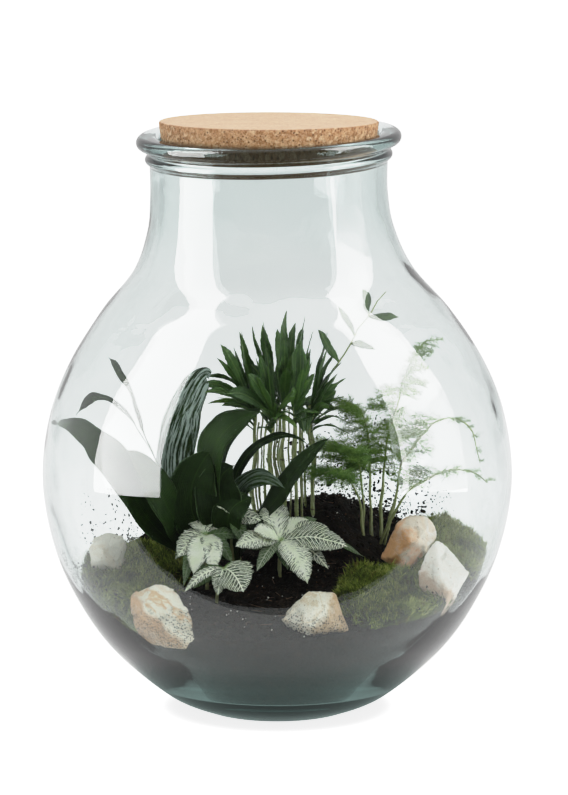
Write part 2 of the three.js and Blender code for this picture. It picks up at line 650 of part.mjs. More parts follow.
const FINISH = {
  glass: { color: 0xd6e6e0, roughness: 0.05, metalness: 0, transparent: true, opacity: 0.3 },
  cork: { color: 0xcfa877, roughness: 0.9, metalness: 0 },
  soil: { color: 0x1c1410, roughness: 1, metalness: 0 },
  moss: { color: 0x4d5a1e, roughness: 1, metalness: 0 },
  palm: { color: 0x2f6a2c, roughness: 0.45, metalness: 0 },
  dracaena: { color: 0x1c3a16, roughness: 0.35, metalness: 0 },
  fittonia: { color: 0xa9c9a0, roughness: 0.5, metalness: 0 },
  fern: { color: 0x3f8030, roughness: 0.7, metalness: 0 },
};

const terrarium = new THREE.Group();

function place(name, geometry, finish) {
  const mesh = new THREE.Mesh(geometry, new THREE.MeshStandardMaterial(finish));
  mesh.name = name;
  terrarium.add(mesh);
}

const stems = plantStems();
place("glass_jar", glassJar(), FINISH.glass);
place("cork_stopper", corkStopper(), FINISH.cork);
place("potting_soil", toGeometry(pottingSoil(stems)), FINISH.soil);
for (const [name, pad] of Object.entries(MOSS)) place(name, toGeometry(mossPad(pad)), FINISH.moss);
for (const [name, stone] of Object.entries(STONES)) {
  place(name, toGeometry(stoneSolid(stone, 1).intersect(insideGlass)), { color: stone.colour, roughness: 0.85, metalness: 0 });
}
for (const [name, { pieces }] of Object.entries(stems)) {
  place(name, toGeometry(joined(pieces)), FINISH[name.split("_")[0]]);
}

export default terrarium;
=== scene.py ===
import math

import bmesh
import bpy
import numpy as np
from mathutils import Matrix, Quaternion, Vector, noise


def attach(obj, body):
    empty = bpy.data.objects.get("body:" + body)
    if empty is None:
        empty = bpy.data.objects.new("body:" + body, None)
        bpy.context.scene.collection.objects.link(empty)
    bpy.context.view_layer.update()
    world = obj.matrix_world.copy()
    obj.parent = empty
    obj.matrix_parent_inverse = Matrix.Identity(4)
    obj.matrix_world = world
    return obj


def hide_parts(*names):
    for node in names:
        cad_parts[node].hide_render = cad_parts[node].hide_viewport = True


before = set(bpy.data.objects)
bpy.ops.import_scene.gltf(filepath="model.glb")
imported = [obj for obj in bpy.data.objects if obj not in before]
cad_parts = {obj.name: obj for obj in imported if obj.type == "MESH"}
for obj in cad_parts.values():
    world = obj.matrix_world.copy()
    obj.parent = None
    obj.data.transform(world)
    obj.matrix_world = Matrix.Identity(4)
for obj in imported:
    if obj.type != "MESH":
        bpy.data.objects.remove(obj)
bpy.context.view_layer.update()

millimetre = 0.001
fullTurn = 2 * math.pi
upAxis = np.array([0.0, 0.0, 1.0])
noise.seed_set(11)  # without it the stones would change from run to run
rng = np.random.default_rng(7)


def report(stage):
    print("terrarium:", stage)


def smoothStep(low, high, value):
    t = np.clip((np.asarray(value, float) - low) / (high - low), 0, 1)
    return t * t * (3 - 2 * t)


def unit(vectors):
    vectors = np.asarray(vectors, float)
    return vectors / np.maximum(np.linalg.norm(vectors, axis=-1, keepdims=True), 1e-9)


def turns(count):
    return np.linspace(0, fullTurn, count, endpoint=False)


def polar(radius, turn, height):
    return np.stack([radius * np.cos(turn), radius * np.sin(turn), height], -1)


def fractalNoise(points, scale, octaves=4, shift=0.0):
    offset = Vector((shift, 0.7 * shift, -0.4 * shift))
    flat = np.reshape(points, (-1, 3))
    heights = [noise.fractal(Vector(p) / scale + offset, 1.0, 2.1, octaves) for p in flat]
    return np.reshape(heights, np.shape(points)[:-1])


# Mesh building: worked out in millimetres, stored in metres.
def newObject(name, data):
    made = bpy.data.objects.new(name, data)
    bpy.context.scene.collection.objects.link(made)
    return made


def placePiece(name, data, nodes):
    piece = newObject(name, data)
    data.polygons.foreach_set("use_smooth", np.full(len(data.polygons), True))
    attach(piece, "root")
    if nodes:
        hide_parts(*nodes)


def readAll(items, key, width, kind=float):
    values = np.empty(len(items) * width, kind)
    items.foreach_get(key, values)
    return values.reshape(-1, width)


class Mesh:
    def __init__(self):
        self.points, self.faces, self.finish, self.uv, self.tone, self.edge = [], [], [], [], [], []
        self.count = 0

    def add(self, points, faces, finish=0, uv=None, tone=0.5, edge=0.0):
        size = len(points)
        self.faces += [[index + self.count for index in face] for face in faces]
        self.finish += [finish] * len(faces)
        self.points.append(points)
        self.uv.append(np.zeros((size, 2)) if uv is None else uv)
        self.tone.append(np.broadcast_to(tone, (size,)))
        self.edge.append(np.broadcast_to(edge, (size,)))
        self.count += size

    def make(self, name, nodes, slot, materials):
        data = bpy.data.meshes.new(name)
        data.from_pydata((np.concatenate(self.points) * millimetre).tolist(), [], self.faces)
        data.update()
        corners = readAll(data.loops, "vertex_index", 1, int)[:, 0]
        layer = data.uv_layers.new(name="leafUv")
        layer.data.foreach_set("uv", np.concatenate(self.uv)[corners].ravel())
        for key, values in (("tone", self.tone), ("edge", self.edge)):
            attribute = data.attributes.new(key, "FLOAT", "POINT")
            attribute.data.foreach_set("value", np.concatenate(values).astype(np.float32))
        for material in materials:
            data.materials.append(material)
        data.polygons.foreach_set("material_index", np.array(self.finish, np.int32))
        shape = bmesh.new()
        shape.from_mesh(data)
        bmesh.ops.recalc_face_normals(shape, faces=shape.faces)
        shape.to_mesh(data)
        shape.free()
        placePiece(name, data, nodes)


# Faces between rings of points, and the same with both ends closed.
def gridFaces(rows, around):
    i, j = np.meshgrid(np.arange(rows), np.arange(around), indexing="ij")
    a, b = i * around + j, i * around + (j + 1) % around
    return np.stack([a, b, b + around, a + around], -1).reshape(-1, 4).tolist()


def sleeveFaces(rows, around):
    last = rows * around
    return gridFaces(rows, around) + [list(range(around))[::-1], list(range(last, last + around))]


# rings: (rows, around, 3) from pole to pole
def turnedShape(mesh, rings, tone=0.5):
    rows, around = rings.shape[:2]
    points = np.concatenate([rings.reshape(-1, 3), [rings[0].mean(0), rings[-1].mean(0)]])
    faces = gridFaces(rows - 1, around)
    pole, start = rows * around, (rows - 1) * around
    for j in range(around):
        after = (j + 1) % around
        faces += [[pole, after, j], [pole + 1, start + j, start + after]]
    mesh.add(points, faces, tone=tone)


# profile: (radius, height), turned round the jar's axis and starting at the front
def turnedRings(profile, angle):
    radius = profile[:, :1]
    return np.stack(np.broadcast_arrays(radius * np.sin(angle), -radius * np.cos(angle), profile[:, 1:]), -1)


def bezier(controls, t):
    t = np.asarray(t, float).reshape(-1, 1)
    rows = [np.broadcast_to(np.asarray(c, float), (len(t), 3)) for c in controls]
    while len(rows) > 2:
        rows = [a + (b - a) * t for a, b in zip(rows, rows[1:])]
    return rows[0] + (rows[1] - rows[0]) * t, unit(rows[1] - rows[0])


def lengthAlong(path):
    return np.concatenate([[0], np.cumsum(np.linalg.norm(np.diff(path, axis=0), axis=1))])


def tube(mesh, path, along, radii, sides, finish=1, tone=0.2):
    side = np.where(np.abs(along[:, 1:2]) > 0.95, [[1.0, 0, 0]], [[0, 1.0, 0]])
    across = unit(np.cross(side, along))[:, None]
    over = np.cross(along, across[:, 0])[:, None]
    angle = turns(sides)
    radii = np.broadcast_to(radii, (len(path),))[:, None, None]
    rings = path[:, None] + radii * (np.cos(angle)[:, None] * across + np.sin(angle)[:, None] * over)
    uv = np.stack(np.broadcast_arrays(angle / 6.28, lengthAlong(path)[:, None] / 10), -1).reshape(-1, 2)
    tone = np.repeat(tone, sides) if np.ndim(tone) else tone
    mesh.add(rings.reshape(-1, 3), sleeveFaces(len(path) - 1, sides), finish, uv, tone)


# The same few faces for each of many small shapes.
def copiedFaces(pattern, points, count):
    return (np.array(pattern) + points * np.arange(count)[:, None, None]).reshape(-1, 3).tolist()


# Many slim three-sided points, open where they sit in their twig or cushion.
def spikes(mesh, feet, ends, wide, thin, tone, up=upAxis + 0.01):
    along = unit(ends - feet)
    across = unit(np.cross(along, up))
    over = np.cross(across, along)
    points = np.stack([feet - across * wide - over * thin, feet + across * wide - over * thin,
                       feet + over * thin * 1.5, ends], 1)
    faces = copiedFaces([[0, 1, 3], [1, 2, 3], [2, 0, 3]], 4, len(feet))
    mesh.add(points.reshape(-1, 3), faces, tone=np.repeat(tone, 4))


def bladeHalfWidth(t, width, peak, foot):
    bend = math.log(0.5) / math.log(peak)
    full = np.power(np.clip(np.sin(math.pi * np.power(t, bend)), 0, 1), 0.8)
    return np.maximum(width / 2 * full, foot * (1 - 0.5 * t)) * (1 - 0.9 * smoothStep(0.93, 1, t))


# A closed thin leaf along a curve. Its form is told by shares of its width and by millimetres.
def leafBlade(mesh, controls, width, tone, face=None, peak=0.5, foot=1.2, fold=0.18, thick=0.8, rows=20,
              columns=8, wave=0.0, waves=3, ruffle=0.0, ruffles=6, ragged=0.0, teeth=0.0, toothGap=3.0,
              curl=0.0, relief=None, free=False):
    t = np.linspace(0, 1, rows + 1)
    centre, along = bezier(controls, t)
    if face is None:
        run = centre[-1] - centre[0]
        face = 0.6 * unit([-run[0], -run[1], 0]) + upAxis
    across = unit(np.cross(along, face))
    out = np.cross(across, along)
    half, length = bladeHalfWidth(t, width, peak, foot)[:, None], lengthAlong(centre)[:, None]
    u = np.linspace(-1, 1, columns + 1)
    ring = np.concatenate([u, u[-2:0:-1]])
    top = np.concatenate([np.ones(columns + 1), -np.ones(columns - 1)])
    phase = rng.uniform(0, 6.28, 4)
    t, side, away = t[:, None], np.sign(ring), np.abs(ring)
    taper = np.sin(math.pi * t)
    edgeWave = 1 + ruffle * np.sin(fullTurn * ruffles * t + phase[0]) * away
    edgeWave = edgeWave + ragged * np.sin(fullTurn * 9.3 * t + phase[1] + 2.2 * side) * away
    edgeWave = edgeWave + teeth * ((length / toothGap + 0.3 * side) % 1 - 0.5) * away ** 3
    sideways = half * ring * edgeWave
    body = thick / 2 * np.sqrt(np.clip(1 - ring ** 2, 0, 1)) * (0.35 + 0.65 * taper) * top
    lift = fold * half * away ** 1.4 + body
    lift = lift - wave * (np.sin(fullTurn * waves * t) * taper) * ring
    lift = lift + 0.5 * wave * np.sin(fullTurn * (waves * 0.7) * t + phase[2]) * taper * ring ** 2
    lift = lift - curl * half * ring ** 2 * smoothStep(0.4, 1, t)
    if relief is not None:
        lift = lift + relief(sideways, length) * (1 - ring ** 8)
    points = centre[:, None] + across[:, None] * sideways[..., None] + out[:, None] * lift[..., None]
    points = points if free else insideGlass(points)
    uv = np.stack([sideways / 10, np.broadcast_to(length / 10, sideways.shape)], -1).reshape(-1, 2)
    edge = np.broadcast_to(away, sideways.shape).ravel()
    mesh.add(points.reshape(-1, 3), sleeveFaces(rows, len(ring)), 0, uv, tone, edge)


# Shader building. Colours are given as red, green and blue to 255, and made linear here.
def paint(colour):
    if isinstance(colour, Value) or len(colour) == 4:
        return colour
    shares = [c / 255 for c in colour]
    return (*(c / 12.92 if c <= 0.04045 else ((c + 0.055) / 1.055) ** 2.4 for c in shares), 1.0)


# What a node puts out. Each sign between two values becomes one Math node.
class Value:
    def __init__(self, nodes, socket):
        self.nodes, self.socket = nodes, socket

    def __add__(self, other):
        return self.nodes.calc("ADD", self, other)

    def __sub__(self, other):
        return self.nodes.calc("SUBTRACT", self, other)

    def __rsub__(self, other):
        return self.nodes.calc("SUBTRACT", other, self)

    def __mul__(self, other):
        return self.nodes.calc("MULTIPLY", self, other)

    def __truediv__(self, other):
        return self.nodes.calc("DIVIDE", self, other)

    def __abs__(self):
        return self.nodes.calc("ABSOLUTE", self)


class Outputs:
    def __init__(self, nodes, sockets):
        self.nodes, self.sockets = nodes, sockets

    def __getitem__(self, key):
        return Value(self.nodes, self.sockets[key])


class Nodes:
    def __init__(self, tree, material=None):
        self.tree, self.material = tree, material

    def node(self, kind, inputs, settings):
        node = self.tree.nodes.new("ShaderNode" + kind)
        for key, value in settings.items():
            setattr(node, key, value)
        for key, value in (inputs or {}).items():
            if isinstance(value, Value):
                self.tree.links.new(value.socket, node.inputs[key])
            else:
                node.inputs[key].default_value = value
        return node

    def add(self, kind, inputs=None, **settings):
        return Outputs(self, self.node(kind, inputs, settings).outputs)

    def calc(self, operation, a, b=0.0, clamp=False):
        return self.add("Math", {0: a, 1: b}, operation=operation, use_clamp=clamp)[0]

    def vector(self, operation, a, b):
        return self.add("VectorMath", {0: a, 1: b}, operation=operation)

    def mix(self, factor, a, b):
        return self.add("Mix", {0: factor, 6: paint(a), 7: paint(b)}, data_type="RGBA")[2]

    def remap(self, value, low, high, toLow=0.0, toHigh=1.0):
        return self.add("MapRange", {"Value": value, "From Min": low, "From Max": high, "To Min": toLow,
                                     "To Max": toHigh}, interpolation_type="SMOOTHSTEP")[0]

    def noise(self, vector, scale, detail=4.0, rough=0.55, twist=0.0):
        return self.add("TexNoise", {"Vector": vector, "Scale": scale, "Detail": detail, "Roughness": rough,
                                     "Distortion": twist})[0]

    def cells(self, vector, scale, **settings):
        return self.add("TexVoronoi", {"Vector": vector, "Scale": scale}, **settings)

    def cracks(self, vector, scale, **settings):
        return self.cells(vector, scale, feature="DISTANCE_TO_EDGE", **settings)["Distance"]

    def ramp(self, value, stops):
        node = self.node("ValToRGB", {0: value}, {})
        elements = node.color_ramp.elements
        while len(elements) < len(stops):
            elements.new(0.5)
        for element, (position, colour) in zip(elements, stops.items()):
            element.position, element.color = position, paint(colour)
        return Value(self, node.outputs[0])

    def stretch(self, vector, x, y, z):
        return self.vector("MULTIPLY", vector, (x, y, z))[0]

    def inMillimetres(self):
        place = self.add("TexCoord")["Object"]
        return self.add("VectorMath", {0: place, "Scale": 1000.0}, operation="SCALE")[0]

    def axis(self, vector, index):
        return self.add("SeparateXYZ", {0: vector})[index]

    def leafPlace(self):
        return self.add("UVMap", uv_map="leafUv")[0]

    def attribute(self, name):
        return self.add("Attribute", attribute_name=name)["Fac"]

    def bump(self, height, distance, strength=1.0):
        depth = distance * millimetre
        return self.add("Bump", {"Height": height, "Distance": depth, "Strength": strength})[0]

    # The four effects that the surfaces share.
    def grain(self, place, coarse, fine):
        return self.add("Group", {"Place": place, "Coarse": coarse, "Fine": fine}, node_tree=grainGroup)

    def specks(self, place, scale, share, size):
        return self.add("Group", {"Place": place, "Scale": scale, "Share": share, "Size": size},
                        node_tree=specksGroup)["Mask"]

    def smear(self, place, level, spread):
        return self.add("Group", {"Place": place, "Level": level, "Spread": spread},
                        node_tree=smearGroup)["Mask"]

    def ribs(self, place, spacing, waver):
        return self.add("Group", {"Place": place, "Spacing": spacing, "Waver": waver}, node_tree=ribsGroup)

    # rough: low and high along the surface's tone; soft: how much light goes in, and how deep
    def finish(self, colour, rough, relief, depth, strength=1.0, shine=0.5, tone=None, soft=None):
        inputs = {"Base Color": colour, "Specular IOR Level": shine, "Roughness": rough,
                  "Normal": self.bump(relief, depth, strength)}
        if tone is not None:
            inputs["Roughness"] = self.remap(tone, 0.0, 1.0, *rough)
        if soft is not None:
            inputs["Subsurface Weight"], inputs["Subsurface Radius"] = soft
        self.add("OutputMaterial", {"Surface": self.add("BsdfPrincipled", inputs)[0]})
        return self.material


def newMaterial(name):
    material = bpy.data.materials.new(name)
    material.use_nodes = True
    material.node_tree.nodes.clear()
    return Nodes(material.node_tree, material)


def newGroup(name, inputs, build):
    group = bpy.data.node_groups.new(name, "ShaderNodeTree")
    group.interface.new_socket(name="Place", in_out="INPUT", socket_type="NodeSocketVector")
    for key, value in inputs.items():
        socket = group.interface.new_socket(name=key, in_out="INPUT", socket_type="NodeSocketFloat")
        socket.default_value = value
    nodes = Nodes(group)
    made = build(nodes, Outputs(nodes, group.nodes.new("NodeGroupInput").outputs))
    for key in made:
        group.interface.new_socket(name=key, in_out="OUTPUT", socket_type="NodeSocketFloat")
    ends = group.nodes.new("NodeGroupOutput").inputs
    for key, value in made.items():
        group.links.new(value.socket, ends[key])
    return group


def makeGrain(nodes, given):
    coarse = nodes.noise(given["Place"], given["Coarse"], 5)
    fine = nodes.noise(given["Place"], given["Fine"], 4, 0.65)
    return {"Tone": nodes.remap(coarse * 0.6 + fine * 0.4, 0.3, 0.7), "Height": coarse + fine * 0.35}


def makeSpecks(nodes, given):
    ragged = nodes.add("TexNoise", {"Vector": given["Place"], "Scale": 2.0})[1]
    cell = nodes.cells(nodes.vector("ADD", given["Place"], ragged)[0], given["Scale"])
    chosen = nodes.calc("LESS_THAN", nodes.add("SeparateColor", {0: cell["Color"]})[0], given["Share"])
    near = nodes.calc("SUBTRACT", 1.0, cell["Distance"] / given["Size"], clamp=True)
    return {"Mask": chosen * nodes.remap(near, 0.0, 0.45)}


def makeSmear(nodes, given):
    shifted = nodes.axis(given["Place"], 2) + (nodes.noise(given["Place"], 0.16, 6, 0.7) - 0.5) * 46.0
    return {"Mask": nodes.remap((given["Level"] - shifted) / given["Spread"], -0.3, 0.8)}


def makeRibs(nodes, given):
    sideways = nodes.axis(given["Place"], 0)
    waver = nodes.noise(nodes.stretch(given["Place"], 2.0, 0.4, 1.0), 1.0, 2) - 0.5
    across = (sideways + waver * given["Waver"]) / given["Spacing"]
    streak = nodes.noise(nodes.stretch(given["Place"], 9.0, 0.5, 1.0), 1.0, 5, 0.65)
    return {"Rib": abs(nodes.calc("SINE", across * math.pi)),
            "Midrib": nodes.remap(abs(sideways), 0.015, 0.075, 1.0, 0.0),
            "Streak": nodes.remap(streak, 0.32, 0.68)}


grainGroup = newGroup("surfaceGrain", {"Coarse": 0.1, "Fine": 1.0}, makeGrain)
specksGroup = newGroup("scatteredSpecks", {"Scale": 0.3, "Share": 0.2, "Size": 0.3}, makeSpecks)
smearGroup = newGroup("soilSmear", {"Level": 90.0, "Spread": 14.0}, makeSmear)
ribsGroup = newGroup("leafRibs", {"Spacing": 0.12, "Waver": 0.02}, makeRibs)

# Camera, light and floor, as the photograph has them.
studio = {
    "cameraPlace": (0, -2.8, 0.6664), "cameraTarget": (0.005, 0, 0.234), "lens": 172.25, "sensorHeight": 36,
    "softboxPlace": 0.9, "softboxDeep": (-0.5, 0.16), "softboxHigh": (0.1, 2.2), "reflectedPower": 46,
    "softboxLean": 4.0, "leftNearer": 0.07, "sidePower": 10.8,
    # place, target, size and power
    "panels": {"overheadPanel": ((0, -0.25, 1.9), (0, -0.05, 0.2), 1.3, 12.5),
               "frontPanel": ((0.2, -1.8, 1.2), (0, 0, 0.2), 1.2, 5.2)},
    "backdrop": 2.4, "throughGlass": 1.05, "ambient": 0.34, "darkRoom": 0.03, "paleRoom": 0.85,
    # the floor's glow is darkened near the jar, painted shade, and tinted green under it, painted light
    "floorReach": 2.6, "floorBreak": -0.22, "floorLow": -0.0004, "underGlass": (0.74, 0.96, 0.92, 1),
    "floorGlow": 0.75, "floorShine": 1.1, "floorWhite": 2.2, "contactShade": 0.95, "contactReach": 0.014,
    "shadeReach": 0.05, "whiteLevel": 2.0,
    "shoulder": [(0, 0), (0.15, 0.3), (0.3, 0.6), (0.36, 0.7), (0.45, 0.8), (0.6, 0.885), (0.8, 0.95),
                 (1, 1)],
}


def aimed(place, target):
    return (Vector(target) - Vector(place)).to_track_quat("-Z", "Y")


def buildCamera():
    data = bpy.data.cameras.new("photoCamera")
    data.sensor_fit, data.sensor_height, data.lens = "VERTICAL", studio["sensorHeight"], studio["lens"]
    data.clip_end = 50
    camera = newObject("photoCamera", data)
    camera.location = studio["cameraPlace"]
    camera.rotation_euler = aimed(camera.location, studio["cameraTarget"]).to_euler()
    bpy.context.scene.camera = camera


# reflected: seen in the glass but lights nothing matt; otherwise the other way round
def areaLight(name, place, target, size, power, reflected=False, lean=0.0):
    data = bpy.data.lights.new(name, "AREA")
    data.shape, data.size, data.size_y, data.energy = "RECTANGLE", size[0], size[1], power
    light = newObject(name, data)
    light.location = place
    light.rotation_euler = (aimed(place, target) @ Quaternion((0, 0, 1), math.radians(lean))).to_euler()
    light.visible_glossy = light.visible_transmission = reflected
    light.visible_diffuse = not reflected
    light.visible_camera = False


def buildLights():
    deep, high = studio["softboxDeep"], studio["softboxHigh"]
    size, target = (deep[1] - deep[0], high[1] - high[0]), (0, sum(deep) / 2, sum(high) / 2)
    for name, side, nearer in (("Left", -1, studio["leftNearer"]), ("Right", 1, 0.0)):
        place = (side * studio["softboxPlace"], target[1] - nearer, target[2])
        areaLight("softboxSeen" + name, place, target, size, studio["reflectedPower"], True,
                  -side * studio["softboxLean"])
        areaLight("softboxLight" + name, place, target, size, studio["sidePower"])
    for name, (place, target, width, power) in studio["panels"].items():
        areaLight(name, place, target, (width, width), power)


def grey(name):
    return (studio[name],) * 3 + (1,)


def buildWorld():
    world = bpy.data.worlds.new("studioRoom")
    bpy.context.scene.world = world
    world.use_nodes = True
    world.node_tree.nodes.clear()
    nodes = Nodes(world.node_tree)
    rays = nodes.add("LightPath")
    depth = nodes.axis(nodes.add("TexCoord")["Generated"], 1)
    room = nodes.mix(nodes.remap(depth, -0.5, 0.1), grey("darkRoom"), grey("paleRoom"))
    colour = nodes.mix(rays["Is Camera Ray"], grey("throughGlass"), grey("backdrop"))
    colour = nodes.mix(nodes.calc("GREATER_THAN", rays["Glossy Depth"], 0.5), colour, room)
    colour = nodes.mix(nodes.calc("GREATER_THAN", rays["Diffuse Depth"], 0.5), colour, grey("ambient"))
    nodes.add("OutputWorld", {"Surface": nodes.add("Background", {"Color": colour, "Strength": 1.0})[0]})


def floorMaterial(name, shine):
    nodes = newMaterial(name)
    tone = nodes.grain(nodes.inMillimetres(), 0.004, 0.2)["Tone"]
    paper = nodes.add("BsdfDiffuse", {"Color": nodes.mix(tone, (244, 244, 244), (250, 250, 250))})
    rays = nodes.add("LightPath")
    seen = rays["Is Camera Ray"]
    # Near the jar the floor's glow is darkened by ambient occlusion, a painted contact shadow and painted
    # shade under the glass, and tinted green there as painted light come through the glass.
    reach = nodes.add("Mix", {0: seen, 2: studio["shadeReach"], 3: studio["contactReach"]})[0]
    openness = nodes.add("AmbientOcclusion", {"Distance": reach}, samples=8)["AO"]
    white = nodes.remap(openness, 0.5, 1.0, studio["contactShade"], studio["floorWhite"])
    shaded = nodes.remap(openness, 0.3, 1.0, 0.33, 1.0)
    tinted = nodes.calc("MAXIMUM", seen, nodes.remap(openness, 0.2, 0.9))
    paintedLightTint = nodes.mix(tinted, studio["underGlass"], (1, 1, 1, 1))
    strength = nodes.add("Mix", {0: seen, 2: shaded * studio["floorGlow"], 3: white})[0]
    glow = nodes.add("Emission", {"Color": paintedLightTint, "Strength": strength})
    direct = nodes.add("AddShader", {0: paper[0], 1: glow[0]})
    mirrored = nodes.add("Emission", {"Color": paintedLightTint, "Strength": shaded * shine})
    shiny = nodes.calc("GREATER_THAN", rays["Glossy Depth"], 0.5)
    both = nodes.add("MixShader", {0: shiny, 1: direct[0], 2: mirrored[0]})
    nodes.add("OutputMaterial", {"Surface": both[0]})
    return nodes.material


def buildFloor():
    reach, split = studio["floorReach"], studio["floorBreak"]
    for name, front, back, shine in (("floorNear", split, reach, studio["floorShine"]),
                                     ("floorFront", -reach, split, studio["darkRoom"])):
        data = bpy.data.meshes.new(name)
        data.from_pydata([(-reach, front, 0), (reach, front, 0), (reach, back, 0), (-reach, back, 0)], [],
                         [[0, 1, 2, 3]])
        data.materials.append(floorMaterial(name, shine))
        floor = newObject(name, data)
        floor.location.z = studio["floorLow"]


# Bright reflections fade towards white instead of clipping.
def softShoulder():
    settings = bpy.context.scene.view_settings
    settings.view_transform = "Standard"
    settings.use_curve_mapping = True
    mapping = settings.curve_mapping
    mapping.white_level = (studio["whiteLevel"],) * 3
    curve = mapping.curves[3]
    for point in studio["shoulder"][1:-1]:
        curve.points.new(*point)
    for point, place in zip(curve.points, studio["shoulder"]):
        point.location = place
    mapping.update()


softShoulder()
cycles = bpy.context.scene.cycles
cycles.max_bounces, cycles.transmission_bounces, cycles.transparent_max_bounces = 16, 14, 24
cycles.diffuse_bounces, cycles.glossy_bounces = 3, 4
cycles.sample_clamp_indirect = 4.0
cycles.caustics_reflective, cycles.caustics_refractive = False, False
buildCamera()
buildLights()
buildWorld()
buildFloor()
report("studio ready")

# Jar of thick green-tinted glass, blown by hand, with a rolled lip and a neck that leans.
jar = {
    "outerWall": [(56, 0), (86, 14), (126.5, 50), (152.8, 90), (168.4, 130), (175, 175), (169.8, 220),
                  (155, 260), (129.5, 300), (104, 330), (91.5, 360), (88, 385), (88, 410)],
    "foot": [(12, 1.1), (30, 0.9), (44, 0.5), (51, 0.1), (54.5, 0.0)],
    "bead": ((88.2, 414.4), 3.4, -80, 80, 9), "neck": [(88.6, 419.2), (90.2, 420.4)],
    "lip": ((93, 427), 5.1, -78, 92, 15),
    "mouth": [(88.5, 431.9), (84.5, 431.5), (81.9, 430.2), (80.4, 428), (79.8, 424), (79.8, 418)],
    "floorHeight": 15.5, "floorRise": [(8, 0), (20, 0.1), (32, 0.6), (42, 1.5), (55, 3), (68, 5)],
    "around": 150, "wallRows": 92, "footWall": 11, "bodyWall": 4.8, "neckWall": 8.2, "seams": (-64, 116),
    "leanShift": -6.2, "leanHeights": (275, 400), "rightUp": 0.025, "backUp": 0.05, "tiltFrom": 300,
    "outerRipple": 0.35, "innerRipple": 0.55, "clearance": 0.5,
    "absorb": (0.27, 0.47, 0.45), "absorbDensity": 30.0,
}


def wallCurve(t):
    points = np.array(jar["outerWall"], float)
    last = len(points) - 1
    scaled = np.asarray(t, float) * last
    i = np.minimum(scaled.astype(int), last - 1)
    w = (scaled - i)[:, None]
    before, start, end, after = (points[np.clip(i + k, 0, last)] for k in (-1, 0, 1, 2))
    leave, arrive = (end - before) / 2, (after - start) / 2
    cubic, square = 2 * start - 2 * end + leave + arrive, 3 * end - 3 * start - 2 * leave - arrive
    place = cubic * w ** 3 + square * w ** 2 + leave * w + start
    return place, unit(3 * cubic * w ** 2 + 2 * square * w + leave)


def wallThickness(height):
    foot = jar["footWall"] + (jar["bodyWall"] - jar["footWall"]) * smoothStep(14, 110, height)
    return foot + (jar["neckWall"] - jar["bodyWall"]) * smoothStep(320, 385, height)


def innerProfile(rows):
    outside, along = wallCurve(np.linspace(1 / 12, 1, rows))
    inside = outside + wallThickness(outside[:, 1:2]) * np.stack([-along[:, 1], along[:, 0]], 1)
    return np.concatenate([np.array(jar["floorRise"]) + [0, jar["floorHeight"]], inside])


innerLine = innerProfile(160)


def innerRadius(height):
    return np.interp(height, innerLine[:, 1], innerLine[:, 0])


def insideGlass(points, gap=jar["clearance"]):
    points = np.array(points, float)
    limit = innerRadius(points[..., 2]) - gap
    radius = np.hypot(points[..., 0], points[..., 1])
    points[..., :2] *= np.minimum(1, limit / np.maximum(radius, 1e-6))[..., None]
    return points


def leaned(points):
    x, y, z = points[..., 0], points[..., 1], points[..., 2]
    rampUp = np.clip((z - jar["tiltFrom"]) / 100, 0, 1)
    return np.stack([x + jar["leanShift"] * smoothStep(*jar["leanHeights"], z), y,
                     z + rampUp * (jar["rightUp"] * x + jar["backUp"] * y)], -1)


def arc(centre, radius, start, end, count):
    angle = np.radians(np.linspace(start, end, count))
    return np.stack([centre[0] + radius * np.cos(angle), centre[1] + radius * np.sin(angle)], 1)


def glassMaterial():
    nodes = newMaterial("greenBlownGlass")
    haze = nodes.grain(nodes.inMillimetres(), 0.02, 0.25)
    glass = nodes.add("BsdfPrincipled", {
        "Base Color": nodes.mix(haze["Tone"], (0.985, 0.995, 0.99, 1), (1.0, 1.0, 1.0, 1)),
        "Roughness": 0.0, "IOR": 1.5, "Transmission Weight": 1.0,
        "Normal": nodes.bump(haze["Height"], 0.05, 0.1)})
    clear = nodes.add("BsdfTransparent", {"Color": (0.95, 0.96, 0.96, 1)})
    rays = nodes.add("LightPath")
    passing = nodes.calc("MAXIMUM", rays["Is Shadow Ray"], rays["Is Diffuse Ray"])
    mixed = nodes.add("MixShader", {0: passing, 1: glass[0], 2: clear[0]})
    volume = nodes.add("VolumeAbsorption", {"Color": (*jar["absorb"], 1), "Density": jar["absorbDensity"]})
    nodes.add("OutputMaterial", {"Surface": mixed[0], "Volume": volume[0]})
    return nodes.material


def buildJar():
    outside = wallCurve(np.linspace(0.004, 1, jar["wallRows"]))[0]
    outerPart = np.concatenate([jar["foot"], outside, arc(*jar["bead"]), jar["neck"], arc(*jar["lip"])])
    profile = np.concatenate([outerPart, jar["mouth"], innerProfile(jar["wallRows"])[::-1]])
    radius, height = profile[:, :1], profile[:, 1]
    angle = turns(jar["around"])
    rings = turnedRings(profile, angle)
    isOutside = (np.arange(len(profile)) < len(outerPart))[:, None]
    strength = smoothStep(20, 80, height) * (1 - 0.7 * smoothStep(395, 412, height))
    move = np.where(isOutside, fractalNoise(rings, 70, 3, 2.0) * jar["outerRipple"],
                    fractalNoise(rings, 48, 3, 9.0) * jar["innerRipple"]) * strength[:, None]
    neckPart = smoothStep(300, 335, height)[:, None] * isOutside
    for seam in np.radians(jar["seams"]):
        turn = np.abs((angle - seam + math.pi) % fullTurn - math.pi)
        move = move + 0.3 * neckPart * np.exp(-(turn / 0.022) ** 2)
    rings[..., :2] *= 1 + (move / np.maximum(radius, 20))[..., None]
    mesh = Mesh()
    turnedShape(mesh, leaned(rings))
    mesh.make("jarGlass", ["glass_jar"], "glass", [glassMaterial()])


buildJar()
report("jar blown")

# Stopper of pressed cork granules.
stopper = {"top": 440.5, "thickness": 28, "topRadius": 81.3, "taper": 1 / 7, "edge": 1.6, "around": 200,
           "sideRows": 30, "topRows": 38, "grainDepth": 0.32, "pits": 0.5, "damp": (425.0, 430.0)}


